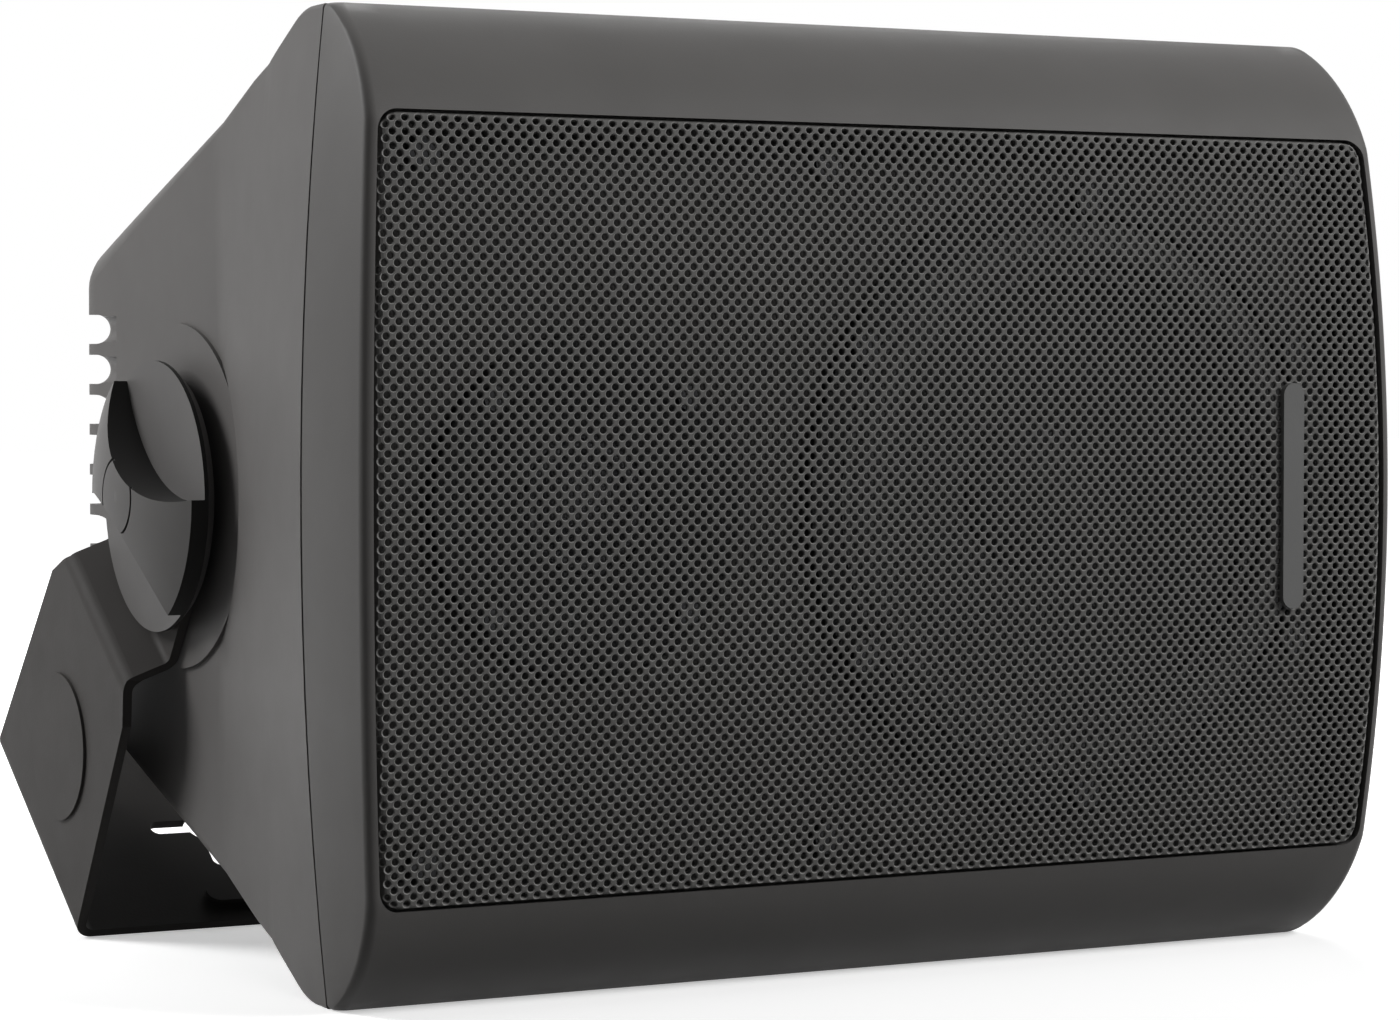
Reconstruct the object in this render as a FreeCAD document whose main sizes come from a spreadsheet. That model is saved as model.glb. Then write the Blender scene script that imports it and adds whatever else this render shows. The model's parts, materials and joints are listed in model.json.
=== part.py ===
"""Two-way passive loudspeaker with a clamped U bracket, in millimetres.

The frame: X along the length, the grille faces -Y, Z is up. The origin is in the middle of
the cabinet's flat underside. Depths below are measured from the parting plane between the rear
cabinet and the front baffle, and every piece is then moved back by the same rest offset.
"""
import FreeCAD, Part
import math
import os
import Sketcher

SIZES = {
    # Rear cabinet
    "body_height": 240.0,
    "end_half": 143.0,
    "end_crown": 6.3,
    "end_plane": 138.0,
    "flank_depth": 76.0,
    "slope_start": 42.0,
    "slope_roll": 9.0,
    "rear_depth": 178.0,
    "rear_half_height": 65.5,
    "front_corner": 1.5,
    "flat_trim": 0.3,
    "rear_corner": 13.0,
    "rear_edge": 8.0,
    "wall": 4.0,
    "end_wall": 4.5,
    "rear_wall": 16.0,
    # Rear ribs
    "groove_pitch": 11.0,
    "groove_count": 9.0,
    "groove_half_width": 4.0,
    "groove_depth": 9.5,
    "groove_end_depth": 2.0,
    "groove_flare": 1.4,
    "groove_turn": 10.0,
    "groove_end": 150.5,
    # Front baffle and grille
    "seal_gap": 1.0,
    "seal_inset": 1.5,
    "seal_width": 2.4,
    "bezel_lip": 4.0,
    "bezel_drop": 29.0,
    "bezel_round": 47.3,
    "bezel_edge": 2.6,
    "front_bulge": 36.0,
    "front_radius": 830.0,
    "grille_half_height": 93.0,
    "grille_margin": 3.4,
    "grille_corner": 5.0,
    "grille_gap": 0.6,
    "grille_sheet": 1.0,
    "grille_seat": 26.0,
    "ledge_width": 4.0,
    "baffle_front": 18.0,
    "baffle_thickness": 4.0,
    "baffle_core_inset": 12.0,
    "baffle_end_inset": 6.0,
    "badge_place": 116.0,
    "badge_half_length": 29.5,
    "badge_half_width": 3.25,
    "badge_height": 1.2,
    "post_width": 14.0,
    "post_depth": 30.0,
    "post_place": 84.0,
    "post_reach": 7.0,
    "post_left": 126.0,
    "post_middle": 15.0,
    "post_right": 128.0,
    "baffle_boss": 6.0,
    # Screws
    "screw_radius": 2.0,
    "screw_head": 4.0,
    "screw_head_height": 2.4,
    "screw_length": 30.0,
    "small_screw_radius": 1.5,
    "small_screw_head": 3.0,
    "small_screw_head_height": 1.8,
    "screw_gap": 0.2,
    # Woofer
    "flange_radius": 81.2,
    "flange_gap": 0.7,
    "flange_thickness": 4.0,
    "woofer_screw_length": 12.0,
    "basket_mouth": 72.0,
    "basket_wall": 2.5,
    "basket_shelf": 34.0,
    "shelf_outer": 50.0,
    "shelf_inner": 40.0,
    "basket_floor": 46.0,
    "basket_gap": 1.5,
    "window_count": 6.0,
    "window_width": 40.0,
    "window_margin": 4.0,
    "top_plate_thickness": 6.0,
    "top_plate_radius": 40.0,
    "magnet_thickness": 15.0,
    "magnet_radius": 45.0,
    "magnet_bore": 22.0,
    "yoke_thickness": 6.0,
    "yoke_radius": 42.0,
    "pole_radius": 14.8,
    "pole_vent": 4.0,
    "coil_inner": 15.4,
    "coil_wall": 1.0,
    "coil_gap": 0.6,
    "coil_overhang": 6.0,
    "cone_neck_depth": 24.0,
    "cone_edge_radius": 60.0,
    "cone_edge_depth": 2.0,
    "cone_thickness": 1.2,
    "cone_curve": 160.0,
    "cap_radius": 19.5,
    "cap_height": 8.0,
    "surround_outer": 69.0,
    "surround_sheet": 1.0,
    "surround_lip": 2.6,
    "surround_step": 2.5,
    "roll_slack": 0.25,
    "spider_sheet": 0.8,
    # Tweeter
    "tweeter_place": 83.0,
    "plate_radius": 42.0,
    "plate_thickness": 4.0,
    "plate_throat": 17.5,
    "plate_flare": 40.0,
    "tweeter_bolt_circle": 37.0,
    "tweeter_screw_length": 11.0,
    "dome_radius": 12.5,
    "dome_height": 4.5,
    "dome_sheet": 0.5,
    "dome_roll": 2.0,
    "motor_radius": 30.0,
    "motor_depth": 27.0,
    "motor_plate": 6.0,
    "motor_step": 2.5,
    "motor_recess": 3.0,
    # Clamped pivot
    "pivot_depth": 104.0,
    "seat_rise": 1.0,
    "seat_radius": 45.0,
    "boss_radius": 14.0,
    "boss_depth": 16.0,
    "insert_radius": 7.0,
    "insert_length": 16.0,
    "stud_radius": 4.0,
    "stud_gap": 0.1,
    "stud_reach": 14.0,
    "stud_grip": 6.0,
    "clamp_gap": 0.3,
    "knob_radius": 35.3,
    "knob_rim": 7.2,
    "knob_lap": 0.6,
    "knob_top": 14.4,
    "knob_floor": 3.6,
    "grip_half_width": 6.5,
    "scoop_radius": 50.0,
    "scoop_turn": -29.0,
    "knob_ring": 10.5,
    "knob_ring_width": 0.8,
    "knob_ring_depth": 0.6,
    # Bracket
    "bracket_sheet": 2.5,
    "base_clear": 1.0,
    "bracket_half_width": 38.3,
    "tab_radius": 26.0,
    "joggle_gap": 1.9,
    "joggle_run": 6.0,
    "joggle_rise": 11.2,
    "shoulder_run": 10.3,
    "shoulder_half_width": 32.5,
    "bend_radius": 5.0,
    "joggle_radius": 2.4,
    "tab_hole_gap": 0.4,
    "emboss_reach": 86.0,
    "emboss_radius": 20.0,
    "emboss_rise": 0.8,
    "cross_place": 103.0,
    "cross_arm": 16.5,
    "cross_half_width": 2.5,
    "cross_hub": 6.0,
    "wall_hole_radius": 3.25,
    "wall_hole_place": 40.0,
    "rib_place": 28.0,
    "rib_half_length": 112.0,
    "rib_half_width": 3.5,
    "rib_rise": 1.2,
    # Terminal panel
    "panel_half_length": 46.0,
    "panel_half_height": 30.0,
    "panel_thickness": 3.0,
    "panel_corner": 4.0,
    "panel_gap": 0.3,
    "panel_ledge": 6.0,
    "ledge_thickness": 3.0,
    "dish_half_length": 34.0,
    "dish_half_height": 19.0,
    "dish_depth": 14.0,
    "dish_wall": 2.5,
    "panel_screw_length": 6.0,
    "block_half_length": 22.0,
    "block_half_height": 8.0,
    "block_depth": 11.0,
    "pole_count": 4.0,
    "pole_hole": 2.0,
    # Crossover
    "board_centre": 84.0,
    "board_half_length": 32.0,
    "board_half_height": 34.0,
    "board_thickness": 1.6,
    "board_margin": 5.0,
    "standoff_radius": 4.0,
    "standoff_height": 9.0,
    "board_screw_length": 8.0,
    "inductor_radius": 18.0,
    "inductor_bore": 8.0,
    "inductor_height": 16.0,
    "capacitor_radius": 8.0,
    "capacitor_length": 34.0,
    "resistor_length": 24.0,
    "resistor_width": 9.0,
}

doc = FreeCAD.newDocument("speaker")
sheet = doc.addObject("Spreadsheet::Sheet", "Sizes")
for row, (alias, number) in enumerate(SIZES.items(), start=1):
    sheet.set(f"A{row}", alias)
    sheet.set(f"B{row}", str(number))
    sheet.setAlias(f"B{row}", alias)
doc.recompute()


class Size:
    """A measure with its present value and the expression that ties it to the sheet."""

    def __init__(self, value, text):
        self.value = value
        self.text = text

    def __add__(self, other):
        other = measure(other)
        return Size(self.value + other.value, f"({self.text} + {other.text})")

    def __sub__(self, other):
        other = measure(other)
        return Size(self.value - other.value, f"({self.text} - {other.text})")

    def __mul__(self, other):
        other = measure(other)
        return Size(self.value * other.value, f"({self.text} * {other.text})")

    def __truediv__(self, other):
        other = measure(other)
        return Size(self.value / other.value, f"({self.text} / {other.text})")

    def __neg__(self):
        return Size(-self.value, f"(-1 * {self.text})")

    def __rsub__(self, other):
        return measure(other) - self

    __radd__ = __add__
    __rmul__ = __mul__


def measure(number):
    """A Size as it is, or a plain number made into one."""
    return number if isinstance(number, Size) else Size(float(number), repr(float(number)))


class Sheet:
    """The sheet's cells as attributes."""

    def __getattr__(self, alias):
        return Size(SIZES[alias], f"Sizes.{alias}")


def root(size):
    return Size(math.sqrt(size.value), f"sqrt({size.text})")


def sine(angle):
    return Size(math.sin(math.radians(angle.value)), f"sin({angle.text})")


def cosine(angle):
    return Size(math.cos(math.radians(angle.value)), f"cos({angle.text})")


def tangent(angle):
    return Size(math.tan(math.radians(angle.value)), f"tan({angle.text})")


def arc_sine(ratio):
    return Size(math.degrees(math.asin(ratio.value)), f"asin({ratio.text})")


def arc_tangent(ratio):
    return Size(math.degrees(math.atan(ratio.value)), f"atan({ratio.text})")


def sagitta(radius, half_chord):
    """Rise of an arc above its chord."""
    return radius - root(radius * radius - half_chord * half_chord)


def bow_radius(half_chord, rise):
    """Radius of the arc with this half chord and rise."""
    return (half_chord * half_chord + rise * rise) / (2 * rise)


dim = Sheet()
ZERO = measure(0)
FULL_TURN = 360.0
HALF_TURN = 180.0
QUARTER_TURN = 90.0
ROLL_FACETS = 4
ROUND_FACETS = 5
WOOFER_SCREWS = 6
TWEETER_SCREWS = 4
KNOB_SCOOPS = 2
SPIDER_WAVES = 4
SPIDER_BEND = 0.62
TOLERANCE = 1e-4

# Heights, levels and depths that several pieces share
mid_height = dim.body_height / 2
rest_offset = (dim.slope_start - dim.slope_roll) / 2
end_middle = dim.end_half + dim.end_crown
end_radius = bow_radius(mid_height, dim.end_crown)
baffle_back = dim.baffle_front - dim.baffle_thickness
seat_level = dim.end_plane + dim.seat_rise
tab_level = seat_level + dim.clamp_gap
knob_level = tab_level + dim.bracket_sheet + dim.clamp_gap
cavity_rear = dim.rear_depth - dim.rear_wall
groove_floor = dim.rear_depth - dim.groove_depth
panel_seat = cavity_rear + dim.ledge_thickness
crest = mid_height + dim.flat_trim
slope_angle = arc_tangent((crest - dim.rear_half_height) / (dim.rear_depth - dim.slope_start))
bracket_reach = mid_height + dim.base_clear
bracket_half_span = tab_level + dim.bracket_sheet + dim.joggle_rise
leg_length = root(bracket_reach * bracket_reach + dim.bracket_half_width * dim.bracket_half_width)
bracket_tilt = arc_sine(mid_height / leg_length) - arc_tangent(dim.bracket_half_width / bracket_reach)
joggle_start = dim.knob_radius - dim.knob_lap
joggle_end = joggle_start + dim.joggle_run
shoulder_reach = joggle_end + dim.shoulder_run
woofer_place = end_middle - dim.grille_margin - dim.ledge_width - dim.flange_gap - dim.flange_radius
woofer_bolt_circle = (dim.flange_radius + dim.basket_mouth) / 2
dish_floor = panel_seat - dim.dish_depth + dim.dish_wall
board_front = cavity_rear - dim.standoff_height - dim.board_thickness


def new_body(label):
    return doc.addObject("PartDesign::Body", label)


def plane_of(body, role):
    return next(feature for feature in body.Origin.OriginFeatures if feature.Role == role)


def new_sketch(body, name, role, offset=ZERO):
    """A sketch on one of the body's origin planes, moved along that plane's normal."""
    sketch = body.newObject("Sketcher::SketchObject", name)
    sketch.AttachmentSupport = (plane_of(body, role), [""])
    sketch.MapMode = "FlatFace"
    sketch.AttachmentOffset = FreeCAD.Placement(FreeCAD.Vector(0, 0, offset.value), FreeCAD.Rotation())
    sketch.setExpression("AttachmentOffset.Base.z", offset.text)
    return sketch


def constrain(sketch, kind, places, size):
    """Add one dimension to a sketch and tie it to its expression."""
    index = sketch.addConstraint(Sketcher.Constraint(kind, *places, size.value))
    sketch.setExpression(f"Constraints[{index}]", size.text)


def pin(sketch, geometry, position, x, y):
    """Fix one point of a sketch by its distances from the sketch's origin."""
    constrain(sketch, "DistanceX", (-1, 1, geometry, position), x)
    constrain(sketch, "DistanceY", (-1, 1, geometry, position), y)


def arc_between(start, end, radius):
    """Circle arc from start to end: its centre is on the left of the way for a radius above zero."""
    chord = end - start
    half = chord.Length / 2
    left = FreeCAD.Vector(-chord.y, chord.x, 0).normalize()
    reach = math.sqrt(max(radius * radius - half * half, 0.0))
    centre = (start + end) / 2 + left * math.copysign(reach, radius)
    first, last = (start, end) if radius > 0 else (end, start)
    angles = [math.atan2(point.y - centre.y, point.x - centre.x) for point in (first, last)]
    circle = Part.Circle(centre, FreeCAD.Vector(0, 0, 1), abs(radius))
    return Part.ArcOfCircle(circle, angles[0], angles[1])


def trace(sketch, points, closed=True):
    """Draw an outline: each point is (x, y), reached by a line, or (x, y, radius), by an arc.

    A radius above zero turns left on the way to its point, one below zero turns right. The first
    point's radius is that of the last run, which closes the outline.
    """
    base = sketch.GeometryCount
    count = len(points) if closed else len(points) - 1
    vectors = [FreeCAD.Vector(measure(p[0]).value, measure(p[1]).value, 0) for p in points]
    ends = []
    for run in range(count):
        target = (run + 1) % len(points)
        start, end = vectors[run], vectors[target]
        if len(points[target]) == 3:
            radius = points[target][2]
            sketch.addGeometry(arc_between(start, end, radius.value), False)
            ends.append((1, 2) if radius.value > 0 else (2, 1))
        else:
            sketch.addGeometry(Part.LineSegment(start, end), False)
            ends.append((1, 2))
    for run in range(count):
        target = (run + 1) % len(points)
        pin(sketch, base + run, ends[run][0], measure(points[run][0]), measure(points[run][1]))
        if closed or run < count - 1:
            following = (run + 1) % count
            places = (base + run, ends[run][1], base + following, ends[following][0])
            sketch.addConstraint(Sketcher.Constraint("Coincident", *places))
        else:
            pin(sketch, base + run, ends[run][1], measure(points[target][0]), measure(points[target][1]))
        if len(points[target]) == 3:
            radius = points[target][2]
            size = radius if radius.value > 0 else -radius
            constrain(sketch, "Radius", (base + run,), size)


def circle(sketch, x, y, radius):
    x, y = measure(x), measure(y)
    place = FreeCAD.Vector(x.value, y.value, 0)
    index = sketch.addGeometry(Part.Circle(place, FreeCAD.Vector(0, 0, 1), radius.value), False)
    pin(sketch, index, 3, x, y)
    constrain(sketch, "Radius", (index,), radius)


def box_outline(sketch, x, y, half_x, half_y):
    """A plain rectangle about a centre."""
    x, y = measure(x), measure(y)
    left, right = x - half_x, x + half_x
    low, high = y - half_y, y + half_y
    trace(sketch, [(left, low), (right, low), (right, high), (left, high)])


def round_box(sketch, x, y, half_x, half_y, corner):
    """A rectangle with round corners about a centre."""
    x, y = measure(x), measure(y)
    left, right = x - half_x, x + half_x
    low, high = y - half_y, y + half_y
    trace(sketch, [
        (left + corner, low, corner), (right - corner, low),
        (right, low + corner, corner), (right, high - corner),
        (right - corner, high, corner), (left + corner, high),
        (left, high - corner, corner), (left, low + corner),
    ])


def capsule(sketch, x, y, half_length, half_width, upright=False):
    """A slot with round ends, each end as two quarter arcs."""
    x, y = measure(x), measure(y)
    straight = half_length - half_width
    flat = [
        (-straight, -half_width, half_width), (straight, -half_width),
        (half_length, ZERO, half_width), (straight, half_width, half_width),
        (-straight, half_width), (-half_length, ZERO, half_width),
    ]
    if upright:
        flat = [(-point[1], point[0], *point[2:]) for point in flat]
    trace(sketch, [(x + point[0], y + point[1], *point[2:]) for point in flat])


def bowed_box(sketch, half_corner, half_middle, half_height, corner):
    """A rectangle on the middle height whose ends bow outwards, with round corners."""
    low, high = mid_height - half_height, mid_height + half_height
    rise = half_middle - half_corner
    bow = (bow_radius(half_height - corner, rise),) if rise.value > 0 else ()
    trace(sketch, [
        (-half_corner + corner, low, corner), (half_corner - corner, low),
        (half_corner, low + corner, corner), (half_corner, high - corner, *bow),
        (half_corner - corner, high, corner), (-half_corner + corner, high),
        (-half_corner, high - corner, corner), (-half_corner, low + corner, *bow),
    ])


def feature(body, kind, name, **values):
    """Add a feature: Size values are tied to the sheet, other values are set as they are."""
    item = body.newObject("PartDesign::" + kind, name)
    for key, value in values.items():
        if isinstance(value, Size):
            whole = isinstance(getattr(item, key), int)
            setattr(item, key, round(value.value) if whole else value.value)
            item.setExpression(key, value.text)
        else:
            setattr(item, key, value)
    return item


def pad(body, sketch, length, **values):
    return feature(body, "Pad", sketch.Name + "_pad", Profile=sketch, Length=length, **values)


def pocket(body, sketch, length=None, **values):
    """Cut a sketch to a length, or through everything both ways when no length is given."""
    if length is None:
        values.update(Type="ThroughAll", Midplane=True)
    else:
        values["Length"] = length
    return feature(body, "Pocket", sketch.Name + "_cut", Profile=sketch, **values)


def mirrored(body, originals, role):
    item = feature(body, "Mirrored", originals[0].Name + "_mirror")
    item.Originals = originals
    item.MirrorPlane = (plane_of(body, role), [""])
    body.Tip = item
    return item


def turned(label, outline):
    """A body of revolution about its own Z axis: the outline's x is the radius, its y the height."""
    body = new_body(label)
    sketch = new_sketch(body, label + "_profile", "XZ_Plane")
    trace(sketch, outline)
    axis = (sketch, ["V_Axis"])
    feature(body, "Revolution", label + "_turn", Profile=sketch, ReferenceAxis=axis, Angle=FULL_TURN)
    return body


def place(item, x=ZERO, depth=ZERO, z=ZERO, axis=None, angle=ZERO):
    """Put a piece at its depth behind the parting plane, in the frame of the whole object."""
    spot = {"x": measure(x), "y": measure(depth) - rest_offset, "z": measure(z)}
    rotation = FreeCAD.Rotation(FreeCAD.Vector(*(axis or (0, 0, 1))), angle.value)
    item.Placement = FreeCAD.Placement(FreeCAD.Vector(*(size.value for size in spot.values())), rotation)
    for key, size in spot.items():
        item.setExpression("Placement.Base." + key, size.text)
    if axis:
        item.setExpression("Placement.Rotation.Angle", angle.text)
    return item


def place_driver(item, x):
    """Turn a driver's axis to the front and seat it on the baffle."""
    return place(item, x, -dim.baffle_front, mid_height, (1, 0, 0), measure(QUARTER_TURN))


def screw_group(label, role, places, radius, head, head_height, length, seat, reverse_head):
    """Like screws in one node: a head above the seat plane and a shank below it."""
    body = new_body(label)
    heads = new_sketch(body, label + "_heads", role, seat)
    shanks = new_sketch(body, label + "_shanks", role, seat)
    for x, y in places:
        circle(heads, x, y, head)
        circle(shanks, x, y, radius)
    pad(body, heads, head_height, Reversed=reverse_head)
    pad(body, shanks, length, Reversed=not reverse_head)
    return body


def polar_places(count, radius, first):
    """Places on a bolt circle about the sketch's origin."""
    step = FULL_TURN / count
    turns = [first + step * index for index in range(count)]
    return [(radius * math.cos(math.radians(turn)), radius * math.sin(math.radians(turn))) for turn in turns]


def slope_share(depth):
    """How far along the sloping top a depth lies, from its start to the rear face."""
    return (depth - dim.slope_start) / (dim.rear_depth - dim.slope_start)


def slope_half_height(depth):
    return crest - (crest - dim.rear_half_height) * slope_share(depth)


def corner_at(depth):
    return dim.front_corner + (dim.rear_corner - dim.front_corner) * slope_share(depth)


def flank_halves(depth):
    """Half lengths at the corners and at the middle height, along the crowned flank."""
    share = depth / dim.flank_depth
    corner = dim.end_half - (dim.end_half - dim.end_plane) * share
    middle = end_middle - (end_middle - dim.end_plane) * share
    return corner, middle


def cabinet_section(body, name, depth, halves, half_height, corner):
    sketch = new_sketch(body, name, "XZ_Plane", -depth)
    bowed_box(sketch, halves[0], halves[1], half_height, corner)
    return sketch


def outer_sections(body):
    """Sections of the cabinet's outside, from the parting plane to the rear face."""
    roll_start = dim.slope_start - dim.slope_roll
    roll_radius = dim.slope_roll / tangent(slope_angle / 2)
    sections = [
        (ZERO, flank_halves(ZERO), crest, dim.front_corner),
        (roll_start, flank_halves(roll_start), crest, dim.front_corner),
    ]
    for facet in range(1, ROLL_FACETS + 1):
        turn = slope_angle * facet / ROLL_FACETS
        depth = roll_start + roll_radius * sine(turn)
        drop = roll_radius * (1 - cosine(turn))
        sections.append((depth, flank_halves(depth), crest - drop, dim.front_corner))
    flat = (dim.end_plane, dim.end_plane)
    sections.append((dim.flank_depth, flat, slope_half_height(dim.flank_depth), corner_at(dim.flank_depth)))
    for facet in range(ROUND_FACETS + 1):
        turn = measure(QUARTER_TURN * facet / ROUND_FACETS)
        depth = dim.rear_depth - dim.rear_edge * (1 - sine(turn))
        inset = dim.rear_edge * (1 - cosine(turn))
        half = dim.end_plane - inset
        sections.append((depth, (half, half), slope_half_height(depth) - inset, corner_at(depth) - inset))
    return [cabinet_section(body, f"outside_{index}", *section) for index, section in enumerate(sections)]


def inner_sections(body):
    """Sections of the cabinet's cavity."""
    sections = []
    for depth in (ZERO, dim.slope_start):
        halves = tuple(half - dim.end_wall for half in flank_halves(depth))
        sections.append((depth, halves, mid_height - dim.wall, dim.front_corner))
    flat = (dim.end_plane - dim.end_wall, dim.end_plane - dim.end_wall)
    for depth in (dim.flank_depth, cavity_rear):
        sections.append((depth, flat, slope_half_height(depth) - dim.wall, corner_at(depth)))
    return [cabinet_section(body, f"inside_{index}", *section) for index, section in enumerate(sections)]


def edges_on(shape, test):
    """Names of the edges whose two ends both pass a test."""
    return [f"Edge{index}" for index, edge in enumerate(shape.Edges, start=1)
            if all(test(vertex.Point) for vertex in edge.Vertexes)]


def cut_grooves(body):
    """Horizontal grooves that run round the rear corners on to the end planes."""
    lowest = mid_height - dim.groove_pitch * (dim.groove_count - 1) / 2
    floor_half = dim.end_plane - dim.groove_end_depth
    turn = dim.groove_turn
    path = new_sketch(body, "groove_path", "XY_Plane", lowest)
    trace(path, [
        (-floor_half, dim.groove_end), (-floor_half, groove_floor - turn),
        (-floor_half + turn, groove_floor, -turn), (floor_half - turn, groove_floor),
        (floor_half, groove_floor - turn, -turn), (floor_half, dim.groove_end),
    ], closed=False)
    profile = new_sketch(body, "groove_profile", "XZ_Plane", -dim.groove_end)
    half, flare = dim.groove_half_width, dim.groove_flare
    flare_start = -floor_half - dim.groove_depth + flare
    mouth = -floor_half - dim.groove_depth
    outside = mouth - half
    trace(profile, [
        (outside, lowest - half - flare), (mouth, lowest - half - flare),
        (flare_start, lowest - half, -flare), (-floor_half - half, lowest - half),
        (-floor_half, lowest, half), (-floor_half - half, lowest + half, half),
        (flare_start, lowest + half), (mouth, lowest + half + flare, -flare),
        (outside, lowest + half + flare),
    ])
    groove = feature(body, "SubtractivePipe", "groove", Profile=profile, Spine=path)
    pattern = feature(body, "LinearPattern", "groove_row", Originals=[groove],
                      Length=dim.groove_pitch * (dim.groove_count - 1), Occurrences=dim.groove_count)
    pattern.Direction = (plane_of(body, "Z_Axis"), [""])
    body.Tip = pattern


def post_places():
    """Places of the baffle's screws: three columns, above and below the drivers."""
    columns = (-dim.post_left, -dim.post_middle, dim.post_right)
    return [(x, mid_height + side * dim.post_place) for x in columns for side in (-1, 1)]


def panel_screw_places():
    x = dim.panel_half_length - dim.panel_ledge / 2
    z = dim.panel_half_height - dim.panel_ledge / 2
    return [(side * x, mid_height + level * z) for side in (-1, 1) for level in (-1, 1)]


def standoff_places():
    x = dim.board_half_length - dim.board_margin
    z = dim.board_half_height - dim.board_margin
    return [(side * x - dim.board_centre, mid_height + level * z) for side in (-1, 1) for level in (-1, 1)]


def circles(sketch, places, radius):
    for x, y in places:
        circle(sketch, x, y, radius)
    return sketch


def trim_flats(body):
    """Cut the lofted top and underside flat, at the full height and at the ground."""
    trim = new_sketch(body, "flat_trim", "YZ_Plane")
    for level in (-dim.wall, dim.body_height + dim.wall):
        box_outline(trim, dim.slope_start / 2, level, dim.slope_start, dim.wall)
    pocket(body, trim)


def build_pivot_seats(body):
    """Flat seats for the bracket, with inner bosses that hold the threaded inserts."""
    seat = new_sketch(body, "seat", "YZ_Plane", seat_level)
    circle(seat, dim.pivot_depth, mid_height, dim.seat_radius)
    disc = pad(body, seat, dim.seat_rise + dim.end_wall, Reversed=True)
    clearing = new_sketch(body, "seat_clearing", "YZ_Plane", seat_level)
    circle(clearing, dim.pivot_depth, mid_height, dim.seat_radius)
    cleared = pocket(body, clearing, end_middle - seat_level, Reversed=True)
    boss = new_sketch(body, "insert_boss", "YZ_Plane", dim.end_plane - dim.end_wall)
    circle(boss, dim.pivot_depth, mid_height, dim.boss_radius)
    column = pad(body, boss, dim.boss_depth, Reversed=True)
    bore = new_sketch(body, "insert_bore", "YZ_Plane", seat_level)
    circle(bore, dim.pivot_depth, mid_height, dim.insert_radius)
    bored = pocket(body, bore, dim.insert_length)
    mirrored(body, [disc, cleared, column, bored], "YZ_Plane")


def build_posts(body):
    """Ribs on the top and bottom walls that take the baffle's screws."""
    posts = new_sketch(body, "posts", "XZ_Plane")
    for x, z in post_places():
        inner = dim.post_place - dim.post_reach
        outer = mid_height - dim.wall / 2
        side = 1 if z.value > mid_height.value else -1
        level = mid_height + side * (inner + outer) / 2
        box_outline(posts, x, level, dim.post_width / 2, (outer - inner) / 2)
    pad(body, posts, dim.post_depth, Reversed=True)
    bores = new_sketch(body, "post_bores", "XZ_Plane")
    circles(bores, post_places(), dim.screw_radius + dim.screw_gap)
    pocket(body, bores, dim.screw_length - dim.baffle_front + dim.screw_radius)


def build_terminal_well(body):
    """Recess and opening in the ribbed rear for the terminal panel."""
    well = new_sketch(body, "terminal_well", "XZ_Plane", -panel_seat)
    half_length, half_height = dim.panel_half_length, dim.panel_half_height
    round_box(well, 0, mid_height, half_length + dim.panel_gap, half_height + dim.panel_gap, dim.panel_corner)
    pocket(body, well, dim.rear_depth - panel_seat)
    opening = new_sketch(body, "terminal_opening", "XZ_Plane", -panel_seat)
    ledge = dim.panel_ledge
    round_box(opening, 0, mid_height, half_length - ledge, half_height - ledge, dim.panel_corner)
    pocket(body, opening, panel_seat - cavity_rear, Reversed=True)
    holes = new_sketch(body, "terminal_bores", "XZ_Plane", -panel_seat)
    circles(holes, panel_screw_places(), dim.small_screw_radius + dim.screw_gap)
    pocket(body, holes, panel_seat - cavity_rear, Reversed=True)


def build_standoffs(body):
    """Posts on the rear wall that carry the crossover board."""
    posts = new_sketch(body, "standoffs", "XZ_Plane", -cavity_rear)
    circles(posts, standoff_places(), dim.standoff_radius)
    pad(body, posts, dim.standoff_height)
    bores = new_sketch(body, "standoff_bores", "XZ_Plane", dim.standoff_height - cavity_rear)
    circles(bores, standoff_places(), dim.small_screw_radius + dim.screw_gap)
    pocket(body, bores, dim.standoff_height)


def build_rear_cabinet():
    body = new_body("rear_cabinet")
    outside = outer_sections(body)
    feature(body, "AdditiveLoft", "outside", Profile=outside[0], Sections=outside[1:], Ruled=True)
    trim_flats(body)
    inside = inner_sections(body)
    feature(body, "SubtractiveLoft", "cavity", Profile=inside[0], Sections=inside[1:], Ruled=True)
    build_pivot_seats(body)
    build_posts(body)
    build_terminal_well(body)
    build_standoffs(body)
    cut_grooves(body)
    return place(body)


def front_edge_depth():
    """How far forward the bezel stands where its round edge meets the bulged front."""
    return dim.front_bulge - sagitta(dim.front_radius, mid_height - dim.bezel_drop)


def bulged_block(sketch, bulge, radius, far):
    """The space between a plane at a far depth and the bulged front, over the full height."""
    edge = sagitta(radius, mid_height) - bulge
    trace(sketch, [(far, ZERO), (far, dim.body_height), (edge, dim.body_height), (edge, ZERO, radius)])


def grille_outline(sketch, growth):
    """The grille's outline: its ends run parallel to the crowned ends of the bezel."""
    margin = dim.grille_margin - growth
    half_height = dim.grille_half_height + growth
    corner = dim.grille_corner + growth
    middle = end_middle - margin
    end = middle - sagitta(end_radius - margin, half_height - corner)
    bowed_box(sketch, end, middle, half_height, corner)


def round_bezel_ends(body):
    """Round the edges where the bulged front meets the crowned ends."""
    doc.recompute()
    front = -front_edge_depth().value + TOLERANCE
    edges = edges_on(body.Shape, lambda point: abs(point.x) > dim.end_half.value and point.y < front)
    upright = [name for name in edges if body.Shape.getElement(name).BoundBox.XLength < dim.end_crown.value]
    feature(body, "Fillet", "bezel_ends_round", Base=(body.Tip, upright), Radius=dim.bezel_edge)


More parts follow.
